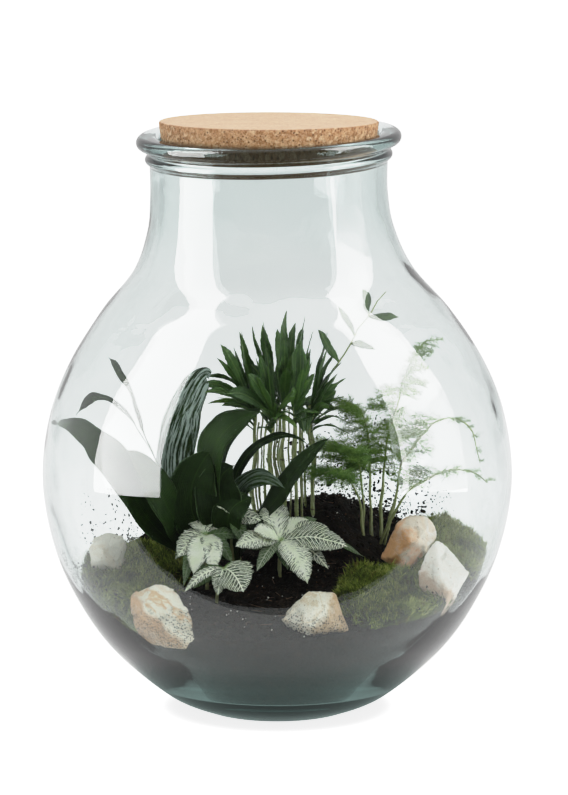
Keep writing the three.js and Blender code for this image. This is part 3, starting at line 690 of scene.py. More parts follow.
def corkMaterial():
    nodes = newMaterial("pressedCork")
    place = nodes.inMillimetres()
    shade = nodes.add("SeparateColor", {0: nodes.cells(place, 0.42)["Color"]})[0]
    colour = nodes.ramp(shade, {0.0: (138, 92, 58), 0.35: (184, 134, 92), 0.7: (212, 168, 124),
                                1.0: (240, 210, 172)})
    small = nodes.add("SeparateColor", {0: nodes.cells(place, 1.1)["Color"]})[1]
    fine = nodes.ramp(small, {0.0: (126, 84, 52), 0.5: (200, 154, 110), 1.0: (240, 212, 172)})
    colour = nodes.mix(0.4, colour, fine)
    bark, barkSmall = nodes.specks(place, 0.5, 0.3, 0.45), nodes.specks(place, 1.2, 0.24, 0.42)
    grain = nodes.grain(place, 0.05, 1.6)
    # Where the surface faces up its bark specks are fainter and its colour painted lighter, painted light on
    # the top; the sides are painted darker, painted shade.
    facingUp = nodes.remap(nodes.axis(nodes.add("NewGeometry")["Normal"], 2), 0.6, 0.95)
    dark = nodes.calc("MAXIMUM", bark, barkSmall * 0.7) * nodes.remap(facingUp, 0.0, 1.0, 0.92, 0.62)
    colour = nodes.mix(dark, colour, (70, 40, 24))
    colour = nodes.mix(facingUp * 0.66, colour, (255, 224, 196))
    colour = nodes.mix(grain["Tone"] * 0.18, colour, (180, 132, 92))
    colour = nodes.mix(nodes.remap(facingUp, 0.0, 1.0, 0.16, 0.0), colour, (146, 100, 66))
    # Below the rim, where the cork sits in the neck, it is painted dark: painted shade.
    damp = nodes.remap(nodes.axis(place, 2), *stopper["damp"], 0.86, 0.0)
    colour = nodes.mix(damp, colour, (44, 34, 20))
    height = nodes.remap(nodes.cracks(place, 0.42), 0.0, 0.12) + grain["Height"] * 0.5
    return nodes.finish(colour, (0.78, 0.95), height, 0.25, 0.8, 0.15, grain["Tone"])


def buildStopper():
    top, bottom, edge = stopper["top"], stopper["top"] - stopper["thickness"], stopper["edge"]
    heights = np.linspace(bottom + edge, top - edge, stopper["sideRows"])
    radii = stopper["topRadius"] - (top - heights) * stopper["taper"]
    low, high = radii[0], radii[-1]
    under, lid = np.linspace(4, low - edge, 14), np.linspace(high - edge, 3, stopper["topRows"])
    profile = np.concatenate([
        np.stack([under, np.full(len(under), bottom)], 1),
        arc((low - edge, bottom + edge), edge, -75, -15, 4),
        np.stack([radii, heights], 1),
        arc((high - edge, top - edge), edge, 15, 75, 4),
        np.stack([lid, np.full(len(lid), top)], 1)])
    angle = turns(stopper["around"])
    rings = turnedRings(profile, angle)
    rings[..., 0] += jar["leanShift"]
    grain = fractalNoise(rings, 3.2, 3, 4.0)
    pit = np.reshape([noise.voronoi(Vector(p) / 5.0)[0][0] for p in rings.reshape(-1, 3)], grain.shape)
    move = stopper["grainDepth"] * grain - stopper["pits"] * np.clip(pit - 0.62, 0, 1)
    isLid = profile[:, 1:] > top - 0.01
    isSide = ~isLid & (profile[:, 1:] > bottom + 0.01)
    rings[..., 2] += np.where(isLid, np.minimum(0.4 * move, 0), 0)
    rings[..., :2] += np.where(isSide, move, 0)[..., None] * np.stack([np.sin(angle), -np.cos(angle)], 1)
    mesh = Mesh()
    turnedShape(mesh, rings)
    mesh.make("corkStopper", ["cork_stopper"], "cork", [corkMaterial()])


buildStopper()
report("stopper pressed")

# Soil: sloping up to the back, heaped behind the middle.
soil = {
    "level": 97, "backSlope": 0.11, "rightSlope": 0.05, "heapPlace": (35, 65), "heapHeight": 38,
    "heapSpread": (58, 30, 60), "heapCrumbs": 1.1, "heapReach": (55, 50), "around": 220, "rings": 100,
    "crumbs": 4800, "fibres": 130, "perlite": 150, "flakes": 3000, "rimGuess": 150.0, "rimRounds": 14,
    # logarithms of the sizes, their middle and spread, and the limits of the sizes
    "crumbSize": (0.05, 0.5), "crumbLimits": (0.5, 3.4), "flakeSize": (-0.52, 0.45),
    "flakeLimits": (0.25, 1.6), "perliteSize": (0.3, 0.85), "fibreReach": (3, 8), "fibreRadius": 0.22,
    # flakes on the glass: turn and half width in degrees, lowest, highest, share
    "flakeBands": [(70, 24, 122, 172, 0.52), (72, 20, 150, 200, 0.14), (48, 20, 116, 150, 0.12),
                   (140, 22, 104, 150, 0.1), (-28, 20, 98, 116, 0.04), (205, 20, 104, 128, 0.05)],
}


def soilHeight(x, y):
    x, y = np.asarray(x, float), np.asarray(y, float)
    heapX, heapY = soil["heapPlace"]
    left, right, deep = soil["heapSpread"]
    spread = np.where(x > heapX, right, left)
    heap = soil["heapHeight"] * np.exp(-0.5 * (((x - heapX) / spread) ** 2 + ((y - heapY) / deep) ** 2))
    crumbs = np.sin(x / 9.1 + 1.3) * np.cos(y / 11.7) + 0.7 * np.sin(x / 5.9 - y / 6.7)
    return soil["level"] + soil["backSlope"] * y + soil["rightSlope"] * x + heap + crumbs


def looseHeight(x, y):
    points = np.stack([x, y, np.zeros_like(x)], -1)
    lumps = 1.5 * fractalNoise(points, 15, 3) + 1.1 * fractalNoise(points, 5.5, 3, 5.0)
    (heapX, heapY), (wide, deep) = soil["heapPlace"], soil["heapReach"]
    loose = 1 + soil["heapCrumbs"] * np.exp(-((x - heapX) / wide) ** 2 - ((y - heapY) / deep) ** 2)
    return soilHeight(x, y) + lumps * loose


# Where the soil's top meets the glass, found by closing in on it.
def rimRadius(angle):
    radius = np.full(np.shape(angle), soil["rimGuess"])
    for _ in range(soil["rimRounds"]):
        radius = innerRadius(soilHeight(radius * np.cos(angle), radius * np.sin(angle)))
    return radius - jar["clearance"]


def randomTurns(count):
    w, x, y, z = unit(rng.normal(size=(count, 4))).T
    return np.stack([
        np.stack([1 - 2 * (y * y + z * z), 2 * (x * y - z * w), 2 * (x * z + y * w)], -1),
        np.stack([2 * (x * y + z * w), 1 - 2 * (x * x + z * z), 2 * (y * z - x * w)], -1),
        np.stack([2 * (x * z - y * w), 2 * (y * z + x * w), 1 - 2 * (x * x + y * y)], -1)], 1)


def lumpShape():
    shape = bmesh.new()
    bmesh.ops.create_icosphere(shape, subdivisions=1, radius=1)
    points = np.array([vert.co[:] for vert in shape.verts])
    faces = [[vert.index for vert in face.verts] for face in shape.faces]
    shape.free()
    return points, faces


lumpPoints, lumpFaces = lumpShape()


def scatterLumps(mesh, places, sizes, finish=0, tone=0.5, jag=0.35):
    count = len(places)
    points = lumpPoints * (1 + jag * rng.uniform(-1, 1, (count, len(lumpPoints), 1)))
    points = points * (1 - 0.3 * rng.uniform(0, 1, (count, 1, 3)))
    points = np.einsum("kpi,kij->kpj", points, randomTurns(count)) * sizes[:, None, None]
    points = insideGlass(points + places[:, None], 0.35).reshape(-1, 3)
    tones = np.repeat(np.broadcast_to(tone, (count,)), len(lumpPoints))
    mesh.add(points, copiedFaces(lumpFaces, len(lumpPoints), count), finish, tone=tones)


def soilMaterial():
    nodes = newMaterial("blackPottingSoil")
    place = nodes.inMillimetres()
    grain = nodes.grain(place, 0.12, 0.9)
    colour = nodes.ramp(grain["Tone"], {0.0: (9, 7, 5), 0.5: (20, 15, 11), 0.85: (34, 26, 20),
                                        1.0: (58, 47, 38)})
    colour = nodes.mix(nodes.specks(place, 0.45, 0.12, 0.4) * 0.6, colour, (84, 60, 42))
    colour = nodes.mix(nodes.specks(place, 0.2, 0.05, 0.1) * 0.7, colour, (190, 184, 172))
    colour = nodes.mix(nodes.attribute("tone") * 0.2, colour, (44, 33, 25))
    height = grain["Height"] - nodes.cells(place, 0.35)["Distance"] * 0.6
    return nodes.finish(colour, (0.7, 1.0), height, 1.2, 1.0, 0.05, grain["Tone"])


def plainMaterial(name, coarse, fine, low, high, rough, depth):
    nodes = newMaterial(name)
    grain = nodes.grain(nodes.inMillimetres(), coarse, fine)
    return nodes.finish(nodes.mix(grain["Tone"], low, high), rough, grain["Height"], depth)


soilFinish = soilMaterial()
perliteFinish = plainMaterial("perliteGrain", 0.5, 3.0, (196, 192, 182), (236, 234, 228), 0.85, 0.2)
fibreFinish = plainMaterial("peatFibre", 0.2, 2.0, (66, 46, 32), (122, 92, 64), 0.9, 0.1)


def buildSoil():
    angle = turns(soil["around"])
    radius = (np.linspace(1, 0.03, soil["rings"]) ** 0.85)[:, None] * rimRadius(angle)
    top = polar(radius, angle, radius)
    top[..., 2] = looseHeight(top[..., 0], top[..., 1])
    climb = np.linspace(0, 1, 34)[:-1, None]
    height = jar["floorHeight"] + 1 + (top[0, :, 2] - jar["floorHeight"] - 1) * climb
    walls = polar(innerRadius(height) - jar["clearance"], angle, height)
    mesh = Mesh()
    turnedShape(mesh, insideGlass(np.concatenate([walls, top])), 0.3)
    count = soil["crumbs"]
    turn = rng.uniform(0, fullTurn, count)
    far = (rimRadius(turn) - 2) * np.sqrt(rng.uniform(0, 1, count))
    size = np.clip(np.exp(rng.normal(*soil["crumbSize"], count)), *soil["crumbLimits"])
    places = polar(far, turn, far)
    places[:, 2] = looseHeight(places[:, 0], places[:, 1]) + 0.2 * size
    scatterLumps(mesh, places, size, tone=rng.uniform(0, 1, count))
    pick = rng.choice(count, soil["perlite"], replace=False)
    grains = rng.uniform(*soil["perliteSize"], soil["perlite"])
    scatterLumps(mesh, places[pick] + [0, 0, 1.2], grains, 1)
    for k in rng.choice(count, soil["fibres"], replace=False):
        turn, reach = rng.uniform(0, 6.28), rng.uniform(*soil["fibreReach"])
        start = places[k] + [0, 0, 0.8]
        bend = start + polar(reach, turn, rng.uniform(-0.5, 2.5))
        end = bend + polar(reach, turn + 0.8, rng.uniform(-2.5, 0))
        path, along = bezier([start, bend, end], np.linspace(0, 1, 6))
        tube(mesh, insideGlass(path, 0.8), along, soil["fibreRadius"], 3, 2, 0.5)
    mesh.make("soilBed", ["potting_soil"], "soil", [soilFinish, perliteFinish, fibreFinish])


# Soil that clings to the inside of the glass above the bed.
def buildFlakes():
    mesh, places = Mesh(), []
    for centre, wide, low, high, share in soil["flakeBands"]:
        total = int(soil["flakes"] * share)
        turn = np.radians(centre + wide * np.clip(rng.normal(0, 0.45, total), -1, 1))
        height = low + (high - low) * rng.power(0.7, total) ** 1.6
        places.append(polar(innerRadius(height) - 0.6, turn, height))
    places = np.concatenate(places)
    sizes = np.exp(rng.normal(*soil["flakeSize"], len(places)))
    sizes = np.clip(sizes, *soil["flakeLimits"])
    scatterLumps(mesh, places, sizes, jag=0.4)
    mesh.make("soilFlakes", [], "soil", [soilFinish])


buildSoil()
buildFlakes()
report("soil filled")

# Stones, broken from banded rock. Corners are measured from each centre.
stones = {
    "stone_front_left": {
        "centre": (-83, -106, 92), "level": 97,
        "corners": [(-22, 4, 14), (-3, 2, 23), (3, 4, 22), (13, 2, 14), (22, -8, 0), (25, -22, -12),
                    (18, -12, -22), (-10, 2, -22), (-19, 4, -11), (-22, 8, 8), (-12, -11, 11),
                    (-5, -17, 0), (9, -15, -9), (-10, 19, 14), (10, 18, 9), (13, 17, -16), (-12, 18, -14)],
        "base": (252, 244, 226), "band": (228, 186, 138), "patch": (196, 148, 104),
        "bandTurn": (0.5, 0.2, 0.9), "patchSide": (-0.7, 0, -0.7)},
    "stone_front_centre": {
        "centre": (26, -127, 95), "level": 100,
        "corners": [(-23, 4, -4), (-6, 2, 16), (-1, 5, 18), (15, 4, 17), (17, 2, 11), (25, -2, -10),
                    (23, 6, -16), (-2, -3, -19), (-14, 3, -12), (2, -10, 11), (13, -10, -2),
                    (-8, -8, -4), (-14, 20, 6), (12, 22, 10), (20, 20, -14), (-10, 22, -15)],
        "base": (254, 246, 230), "band": (230, 208, 174), "patch": (196, 160, 120),
        "bandTurn": (0.7, 0.1, -0.6), "patchSide": (0.8, 0, -0.4)},
    "stone_right_pale": {
        "centre": (118, -85, 114), "level": 98,
        "corners": [(-3, 4, 28), (3, 6, 25), (12, 2, 10), (20, 2, 5), (14, 0, -6), (1, -2, -28),
                    (-7, -2, -17), (-15, 0, -6), (-16, 2, 5), (-11, 2, 18), (-2, -10, 6), (4, -9, -9),
                    (-6, 15, 15), (9, 15, 4), (3, 13, -18), (-11, 14, -4)],
        "base": (255, 248, 238), "band": (248, 228, 212), "patch": (206, 172, 144),
        "bandTurn": (0.3, 0.2, 0.8), "patchSide": (-0.5, 0, -0.6)},
    "stone_right_rust": {
        "centre": (97, -8, 126), "level": 107,
        "corners": [(-20, 2, -11), (-13, 0, 3), (-9, -2, 15), (2, 0, 21), (12, 2, 20), (18, 3, 14),
                    (23, 2, 4), (16, -6, -4), (-2, -8, -20), (-11, -6, -13), (0, -14, 5), (-6, -12, -8),
                    (-8, 16, 12), (11, 17, 14), (15, 15, -15), (-12, 15, -15)],
        "base": (252, 232, 210), "band": (252, 244, 236), "patch": (244, 176, 116),
        "bandTurn": (0.6, 0.3, 0.5), "patchSide": (-0.55, 0, -0.3), "patchMore": 0.12},
    "stone_left_back": {
        "centre": (-128, 12, 113), "level": 92,
        "corners": [(-14, 0, 4), (-9, -2, 13), (0, 0, 17), (8, 0, 14), (13, 2, 6), (12, 0, -14),
                    (-11, 0, -16), (-2, -12, 4), (6, -10, -8), (-8, -9, -6), (0, 14, 12), (9, 12, -12),
                    (-10, 13, -10)],
        "base": (255, 248, 234), "band": (244, 230, 208), "patch": (214, 184, 150),
        "bandTurn": (0.6, 0.2, 0.6), "patchSide": (0.5, 0, -0.6), "patchMore": -0.1},
}
stoneLook = {"voxel": 1.3, "facetSize": 12.0, "facetTilt": 0.23, "lumps": (0.35, 16), "grit": (0.3, 3.4),
             "cellLift": 0.9}


def stoneMaterial(name, plan):
    nodes = newMaterial(name)
    place = nodes.inMillimetres()
    grain = nodes.grain(place, 0.09, 0.8)
    turned = nodes.vector("DOT_PRODUCT", place, plan["bandTurn"])["Value"]
    layer = turned * 0.11 + nodes.noise(place, 0.05, 4, 0.6, 0.6) * 5.0
    stripe = nodes.noise(nodes.add("CombineXYZ", {0: layer})[0], 1.0, 5, 0.6)
    colour = nodes.mix(nodes.remap(stripe, 0.42, 0.66), plan["base"], plan["band"])
    offset = nodes.vector("ADD", place, tuple(-c for c in plan["centre"]))[0]
    side = nodes.vector("DOT_PRODUCT", offset, plan["patchSide"])["Value"]
    patch = side * 0.028 + (nodes.noise(place, 0.055, 5, 0.6) + plan.get("patchMore", 0.0))
    colour = nodes.mix(nodes.remap(patch, 0.48, 0.72, 0.0, 0.88), colour, plan["patch"])
    colour = nodes.mix(nodes.remap(grain["Tone"], 0.5, 1.0, 0.0, 0.35), colour, (250, 244, 232))
    colour = nodes.mix(nodes.specks(place, 0.5, 0.16, 0.35) * 0.45, colour, (150, 96, 56))
    dirt = nodes.remap(nodes.specks(place, 0.75, 0.6, 0.55), 0.0, 1.0, 0.25, 1.0)
    colour = nodes.mix(nodes.smear(place, plan["level"], 12.0) * dirt, colour, (38, 29, 23))
    height = grain["Height"] + nodes.remap(nodes.cracks(place, 0.09), 0.0, 0.05) * 0.25
    return nodes.finish(colour, (0.6, 0.9), height, 0.7, 0.8, 0.2, grain["Tone"])


def remeshed(data, voxel):
    holder = newObject("working", data)
    change = holder.modifiers.new("voxels", "REMESH")
    change.mode, change.voxel_size = "VOXEL", voxel * millimetre
    even = bpy.data.meshes.new_from_object(holder.evaluated_get(bpy.context.evaluated_depsgraph_get()))
    bpy.data.objects.remove(holder)
    return even


# Each point goes half way to the middle of its neighbours, which rounds the edges.
def relaxed(points, edges):
    total, number = np.zeros_like(points), np.zeros(len(points))
    np.add.at(total, edges[:, 0], points[edges[:, 1]])
    np.add.at(total, edges[:, 1], points[edges[:, 0]])
    np.add.at(number, edges.ravel(), 1)
    return points + 0.5 * (total / number[:, None] - points)


# Each cell of a random mosaic leans its own way, as on broken rock.
def facets(points, shift):
    size = stoneLook["facetSize"]
    rise = np.empty(len(points))
    for i, point in enumerate(points):
        place = Vector(point) / size + Vector((shift, 0, 0))
        cell = noise.voronoi(place)[1][0]
        lean = noise.noise_vector(cell * 37.7)
        rise[i] = lean.dot(place - cell) * size * stoneLook["facetTilt"] + stoneLook["cellLift"] * lean.x
    return rise


stonePlanes = []


def buildStone(node, plan):
    hull = bmesh.new()
    for corner in plan["corners"]:
        hull.verts.new(np.add(plan["centre"], corner) * millimetre)
    found = bmesh.ops.convex_hull(hull, input=hull.verts)
    spare = [part for part in found["geom_interior"] if isinstance(part, bmesh.types.BMVert)]
    bmesh.ops.delete(hull, geom=spare, context="VERTS")
    bmesh.ops.recalc_face_normals(hull, faces=hull.faces)
    stonePlanes.append([(np.array(face.normal), np.dot(face.normal, face.verts[0].co) / millimetre)
                        for face in hull.faces])
    rough = bpy.data.meshes.new("rough")
    hull.to_mesh(rough)
    hull.free()
    data = remeshed(rough, stoneLook["voxel"])
    points = relaxed(readAll(data.vertices, "co", 3) / millimetre, readAll(data.edges, "vertices", 2, int))
    shift = plan["centre"][0] * 0.37
    (lumpRise, lumpSize), (gritRise, gritSize) = stoneLook["lumps"], stoneLook["grit"]
    move = lumpRise * fractalNoise(points, lumpSize, 3, shift) + facets(points, shift)
    move = move + gritRise * fractalNoise(points, gritSize, 3, shift)
    points = insideGlass(points + readAll(data.vertices, "normal", 3) * move[:, None], 0.4)
    data.vertices.foreach_set("co", (points * millimetre).ravel())
    data.materials.append(stoneMaterial(node + "_rock", plan))
    data.update()
    placePiece(node + "_broken", data, [node])


def insideStones(points, spare):
    inside = np.zeros(len(points), bool)
    for planes in stonePlanes:
        inside |= np.all([points @ normal < offset + spare for normal, offset in planes], axis=0)
    return inside


for node, plan in stones.items():
    buildStone(node, plan)
report("stones set")

# Moss cushions: a soft dome on the soil, covered in short shoots of narrow leaves.
moss = {
    "moss_left": {"centre": (-113, -10), "reach": (43, 92), "dome": 8, "phase": 0.4, "shoots": 4600,
                  "pale": 0.08},
    "moss_front_right": {"centre": (84, -72), "reach": (42, 54), "dome": 8, "phase": 1.9, "shoots": 3200,
                         "pale": 0.05},
    "moss_back_right": {"centre": (128, 38), "reach": (33, 72), "dome": 10, "phase": 3.1, "shoots": 2900,
                        "pale": 0.5},
}
mossLook = {"leavesEach": 6, "shootHeight": 5.2, "leafLength": (2.8, 7.6), "leafWidth": 0.4,
            "leafThick": 0.12, "around": 84, "rows": 26,
            "combed": 1.5, "loose": 0.4, "forward": 1.3, "aside": 0.75}


# The tone of single leaves with that of a surface's grain.
def leafTone(nodes, place, coarse, fine, own, shared):
    grain = nodes.grain(place, coarse, fine)
    return nodes.attribute("tone") * own + grain["Tone"] * shared, grain


def mossMaterial():
    nodes = newMaterial("feathermoss")
    place = nodes.inMillimetres()
    tone, grain = leafTone(nodes, place, 0.045, 0.7, 0.6, 0.45)
    colour = nodes.ramp(tone, {0.05: (30, 26, 12), 0.3: (58, 66, 20), 0.55: (102, 118, 38),
                               0.8: (152, 164, 74), 1.0: (206, 206, 130)})
    dead = nodes.remap(nodes.noise(place, 0.1, 5, 0.8), 0.54, 0.66, 0.0, 0.7)
    colour = nodes.mix(dead, colour, (112, 80, 40))
    return nodes.finish(colour, 0.85, grain["Height"], 0.4, 0.6, 0.06, soft=(0.05, (0.002, 0.003, 0.001)))


mossFinish = mossMaterial()


def mossSurface(plan, share, angle):
    (middleX, middleY), (wide, deep) = plan["centre"], plan["reach"]
    phase, dome = plan["phase"], plan["dome"]
    lobes = 1 + 0.07 * np.sin(3 * angle + phase) + 0.05 * np.sin(7 * angle - phase)
    x = middleX + wide * share * lobes * np.cos(angle)
    y = middleY + deep * share * lobes * np.sin(angle)
    lift = np.interp(share, [0, 0.42, 0.68, 0.9, 1], [dome, dome, dome, 0.72 * dome, 0.5])
    flat = np.stack([x, y, 0 * x], -1)
    tufts = 2.2 * fractalNoise(flat, 17, 3, phase) + 1.0 * fractalNoise(flat, 6, 2, 7.0)
    return np.stack([x, y, soilHeight(x, y) + lift + tufts - 1.6], -1)


def buildMoss(node, plan):
    share, angle = np.linspace(1, 0.04, mossLook["rows"]), turns(mossLook["around"])
    top = mossSurface(plan, *np.meshgrid(share, angle, indexing="ij"))
    rings = np.concatenate([top[:0:-1], top])
    lowest = soilHeight(rings[..., 0], rings[..., 1]) + 0.4
    rings[..., 2] = np.maximum(rings[..., 2], lowest)
    under = len(share) - 1
    rings[:under, :, 2] = lowest[:under]
    mesh = Mesh()
    turnedShape(mesh, insideGlass(rings), 0.1)
    count = plan["shoots"]
    turn, out = rng.uniform(0, fullTurn, count), np.sqrt(rng.uniform(0, 1, count))
    feet = mossSurface(plan, out, turn)
    feet = feet[~insideStones(feet, 1.0)]
    feet = feet[np.hypot(feet[:, 0], feet[:, 1]) < innerRadius(feet[:, 2]) + 6]
    feet = insideGlass(feet, 1.2)
    count = len(feet)
    comb = np.stack([fractalNoise(feet, 9, 2, 3.0), fractalNoise(feet, 9, 2, 21.0), np.full(count, 0.55)], -1)
    lean = unit(mossLook["combed"] * comb + mossLook["loose"] * rng.normal(size=(count, 3)))
    tops = feet + lean * (mossLook["shootHeight"] * rng.uniform(0.5, 1.25, (count, 1)))
    tones = rng.normal(0.5 + plan["pale"], 0.24, count) + 0.5 * fractalNoise(feet, 13, 2, 5.0)
    tones = np.clip(tones, 0, 1)
    for _ in range(mossLook["leavesEach"]):
        along = unit(mossLook["aside"] * rng.normal(size=(count, 3)) + mossLook["forward"] * lean)
        share = rng.uniform(0.1, 1, (count, 1))
        start = feet + (tops - feet) * share
        end = insideGlass(start + along * rng.uniform(*mossLook["leafLength"], (count, 1)), 0.4)
        up = rng.normal(size=(count, 3))
        tone = np.clip(tones * (0.5 + 0.65 * share[:, 0]) + rng.normal(0, 0.16, count), 0, 1)
        spikes(mesh, insideGlass(start), end, mossLook["leafWidth"], mossLook["leafThick"], tone, up)
    mesh.make(node + "_cushion", [node], "moss", [mossFinish])


for node, plan in moss.items():
    buildMoss(node, plan)
report("moss laid")

rootDepth = 8  # how far each stem goes on below the soil

# Parlour palm: a ring of canes and a few inside it, each with its leaflets.
palm = {
    "centre": (5, 50), "outerCanes": 8, "outerRing": 24, "innerCanes": 4, "innerRing": 9, "caneRadius": 1.5,
    "crowded": {3: 0.66, 4: 0.6, 5: 0.6, 6: 0.72, 7: 0.68}, "outerTop": 203, "innerTop": 211,
    "outerLeaflets": [(15, -12, 22, 42, 8.5, 0.3), (12, 12, 30, 42, 8, 0.28), (8, 0, 46, 48, 9, 0.2),
                      (5, -10, 60, 54, 8, 0.14), (3, 10, 66, 58, 7.5, 0.1), (0, 0, 77, 68, 7.5, 0.06)],
    "innerLeaflets": [(10, -26, 70, 52, 8, 0.08), (7, 26, 73, 58, 8, 0.08), (4, 0, 76, 68, 8, 0.06),
                      (0, -10, 84, 76, 7, 0.03)],
    "leafletForm": {"peak": 0.55, "foot": 0.9, "fold": 0.22, "thick": 0.9, "rows": 16, "columns": 6,
                    "wave": 0.5, "waves": 2.3, "ragged": 0.05, "curl": 0.25},
    "shownForm": {"face": (0.15, -1, 0.45), "peak": 0.58, "foot": 1.0, "fold": 0.16, "thick": 0.9, "rows": 22,
                  "wave": 0.7, "waves": 2.6, "ragged": 0.08, "curl": 0.2},
    "frond": [(0.5, -14, 24), (0.64, 18, -4), (0.68, -10, 24), (0.84, 20, 0), (0.86, -6, 20)],
    "frondForm": {"face": (0.2, -1, 0.4), "peak": 0.45, "foot": 0.7, "rows": 18, "wave": 0.5, "ragged": 0.04,
                  "free": True},
    # limits of a young leaflet: drop, turn, rise, length, width, arch
    "youngLeaflet": [(-2, 16), (-70, 70), (-5, 80), (26, 46), (5, 9), (0.08, 0.4)],
    "frondFoot": 201, "frondBend": (10, 2, 48), "frondTip": (84, 62, 305), "frondRadius": (0.9, 0.5),
    "widen": 0.92, "slim": 0.8, "youngEach": 5, "crownLift": 15, "shorten": 0.8,
    # the largest leaflets by cane: tip, width, lift of the arch, tone
    "shown": {
        "palm_outer_1": [((36, 55, 252), 7, 0.1, 0.5), ((44, 52, 216), 9, 0.3, 0.4)],
        "palm_outer_2": [((20, 70, 277), 7, 0.05, 0.4)],
        "palm_outer_3": [((-20, 60, 279), 4, 0.05, 0.3), ((-31, 66, 262), 8, 0.1, 0.3)],
        "palm_outer_4": [((-30, 45, 277), 8, 0.06, 0.6), ((-56, 30, 245), 4, 0.3, 0.4),
                         ((-51, 25, 225), 5, 0.12, 1.0), ((-38, 30, 262), 10, 0.08, 0.25)],
        "palm_outer_5": [((-43, 15, 271), 9, 0.1, 0.5), ((-45, 20, 261), 5, 0.1, 0.5),
                         ((-60, 20, 239), 9, 0.34, 0.55), ((-53, 15, 235), 7, 0.3, 0.5),
                         ((-42, 15, 225), 7, 0.2, 0.3)],
        "palm_outer_6": [((-38, 10, 236), 14, 0.3, 0.25), ((26, 20, 244), 8, 0.12, 0.75),
                         ((16, 10, 208), 6, 0.3, 0.9), ((-22, 8, 250), 11, 0.2, 0.35),
                         ((-14, 12, 262), 10, 0.1, 0.45)],
        "palm_outer_7": [((18, 30, 271), 16, 0.1, 0.45), ((29, 30, 247), 8, 0.08, 0.5),
                         ((22, 20, 202), 12, 0.75, 0.35), ((12, 12, 238), 12, 0.3, 0.7)],
        "palm_outer_8": [((46, 50, 236), 8, 0.2, 0.45), ((45, 45, 232), 10, 0.12, 0.5),
                         ((24, 24, 200), 9, 0.9, 0.4), ((40, 20, 222), 8, 0.3, 0.55)],
        "palm_inner_1": [((24, 48, 262), 11, 0.06, 0.3)],
        "palm_inner_2": [((14, 60, 282), 9, 0.04, 0.4)],
        "palm_inner_3": [((-11, 50, 281), 10, 0.04, 0.45), ((-20, 40, 252), 10, 0.1, 0.3)],
        "palm_inner_4": [((0, 50, 279), 10, 0.04, 0.6), ((6, 22, 252), 11, 0.12, 0.5)]},
}


def palmLeafMaterial():
    nodes = newMaterial("palmLeaflet")
    ribs = nodes.ribs(nodes.leafPlace(), 0.11, 0.02)
    tone, grain = leafTone(nodes, nodes.inMillimetres(), 0.06, 0.9, 0.65, 0.35)
    colour = nodes.ramp(tone, {0.0: (22, 42, 16), 0.4: (46, 76, 28), 0.75: (82, 118, 46),
                               1.0: (136, 164, 74)})
    colour = nodes.mix(ribs["Streak"] * 0.3, colour, (88, 118, 62))
    colour = nodes.mix(ribs["Midrib"] * 0.25, colour, (120, 146, 76))
    colour = nodes.mix(nodes.add("NewGeometry")["Backfacing"] * 0.3, colour, (110, 134, 92))
    height = ribs["Rib"] + ribs["Midrib"] * 1.5
    return nodes.finish(colour, (0.36, 0.52), height, 0.18, 0.8, 0.3, grain["Tone"],
                        (0.08, (0.002, 0.004, 0.001)))


def caneMaterial():
    nodes = newMaterial("greenCane")
    place = nodes.inMillimetres()
    grain = nodes.grain(nodes.stretch(place, 1.0, 1.0, 0.12), 0.4, 1.6)
    colour = nodes.mix(grain["Tone"], (118, 134, 70), (196, 202, 142))
    colour = nodes.mix(nodes.remap(nodes.attribute("tone"), 0.55, 0.95, 0.0, 0.85), colour, (84, 76, 44))
    low = nodes.remap(nodes.axis(place, 2), 118.0, 150.0, 0.6, 0.0)
    return nodes.finish(nodes.mix(low, colour, (88, 78, 46)), 0.5, grain["Height"], 0.2, shine=0.4)


palmFinish, caneFinish = palmLeafMaterial(), caneMaterial()


def palmLeaflet(mesh, base, heading, leaf, reach, tone):
    drop, turn, rise, length, width, archHeight = leaf
    length *= palm["shorten"] * (reach if rise < 60 else 1)
    angle, rise = math.radians(heading + turn), math.radians(rise)
    flat, high = length * math.cos(rise), length * math.sin(rise)
    out = np.array([math.cos(angle), math.sin(angle), 0])
    start = base - [0, 0, drop]
    via = start + 0.5 * flat * out + [0, 0, high * 0.5 + length * archHeight]
    tip = start + flat * out + [0, 0, high]
    leafBlade(mesh, [start, via, tip], width * palm["widen"], tone, **palm["leafletForm"])


def shownLeaflet(mesh, base, tip, width, lift, tone):
    start = base - [0, 0, 2]
    reach = np.linalg.norm(tip - start)
    via = start + 0.5 * (tip - start) + [0, 0, lift * reach + 2]
    leafBlade(mesh, [start, via, tip], width * palm["slim"], tone, **palm["shownForm"])


def caneTube(mesh, x, y, top, phase, thick, shade):
    foot = soilHeight(x, y) - rootDepth
    height = np.linspace(foot, top + 1, 40)
    sway = 0.7 * smoothStep(foot + 12, foot + 60, height) * (1 - smoothStep(top - 30, top, height))
    bentX, bentY = x + sway * np.sin(height / 17 + phase), y + sway * np.cos(height / 21 + phase)
    path = np.stack([bentX, bentY, height], -1)
    ringShare = np.abs((height / 17 + phase) % 1 - 0.5)
    ring = np.exp(-(ringShare / 0.06) ** 2)
    radius = thick * (1 - 0.2 * (height - foot) / (top - foot)) * (1 + 0.16 * ring)
    tube(mesh, path, np.tile(upAxis, (len(path), 1)), radius, 10, tone=np.maximum(ring, shade))


def randomTone(middle):
    return np.clip(rng.normal(middle, 0.2), 0, 1)


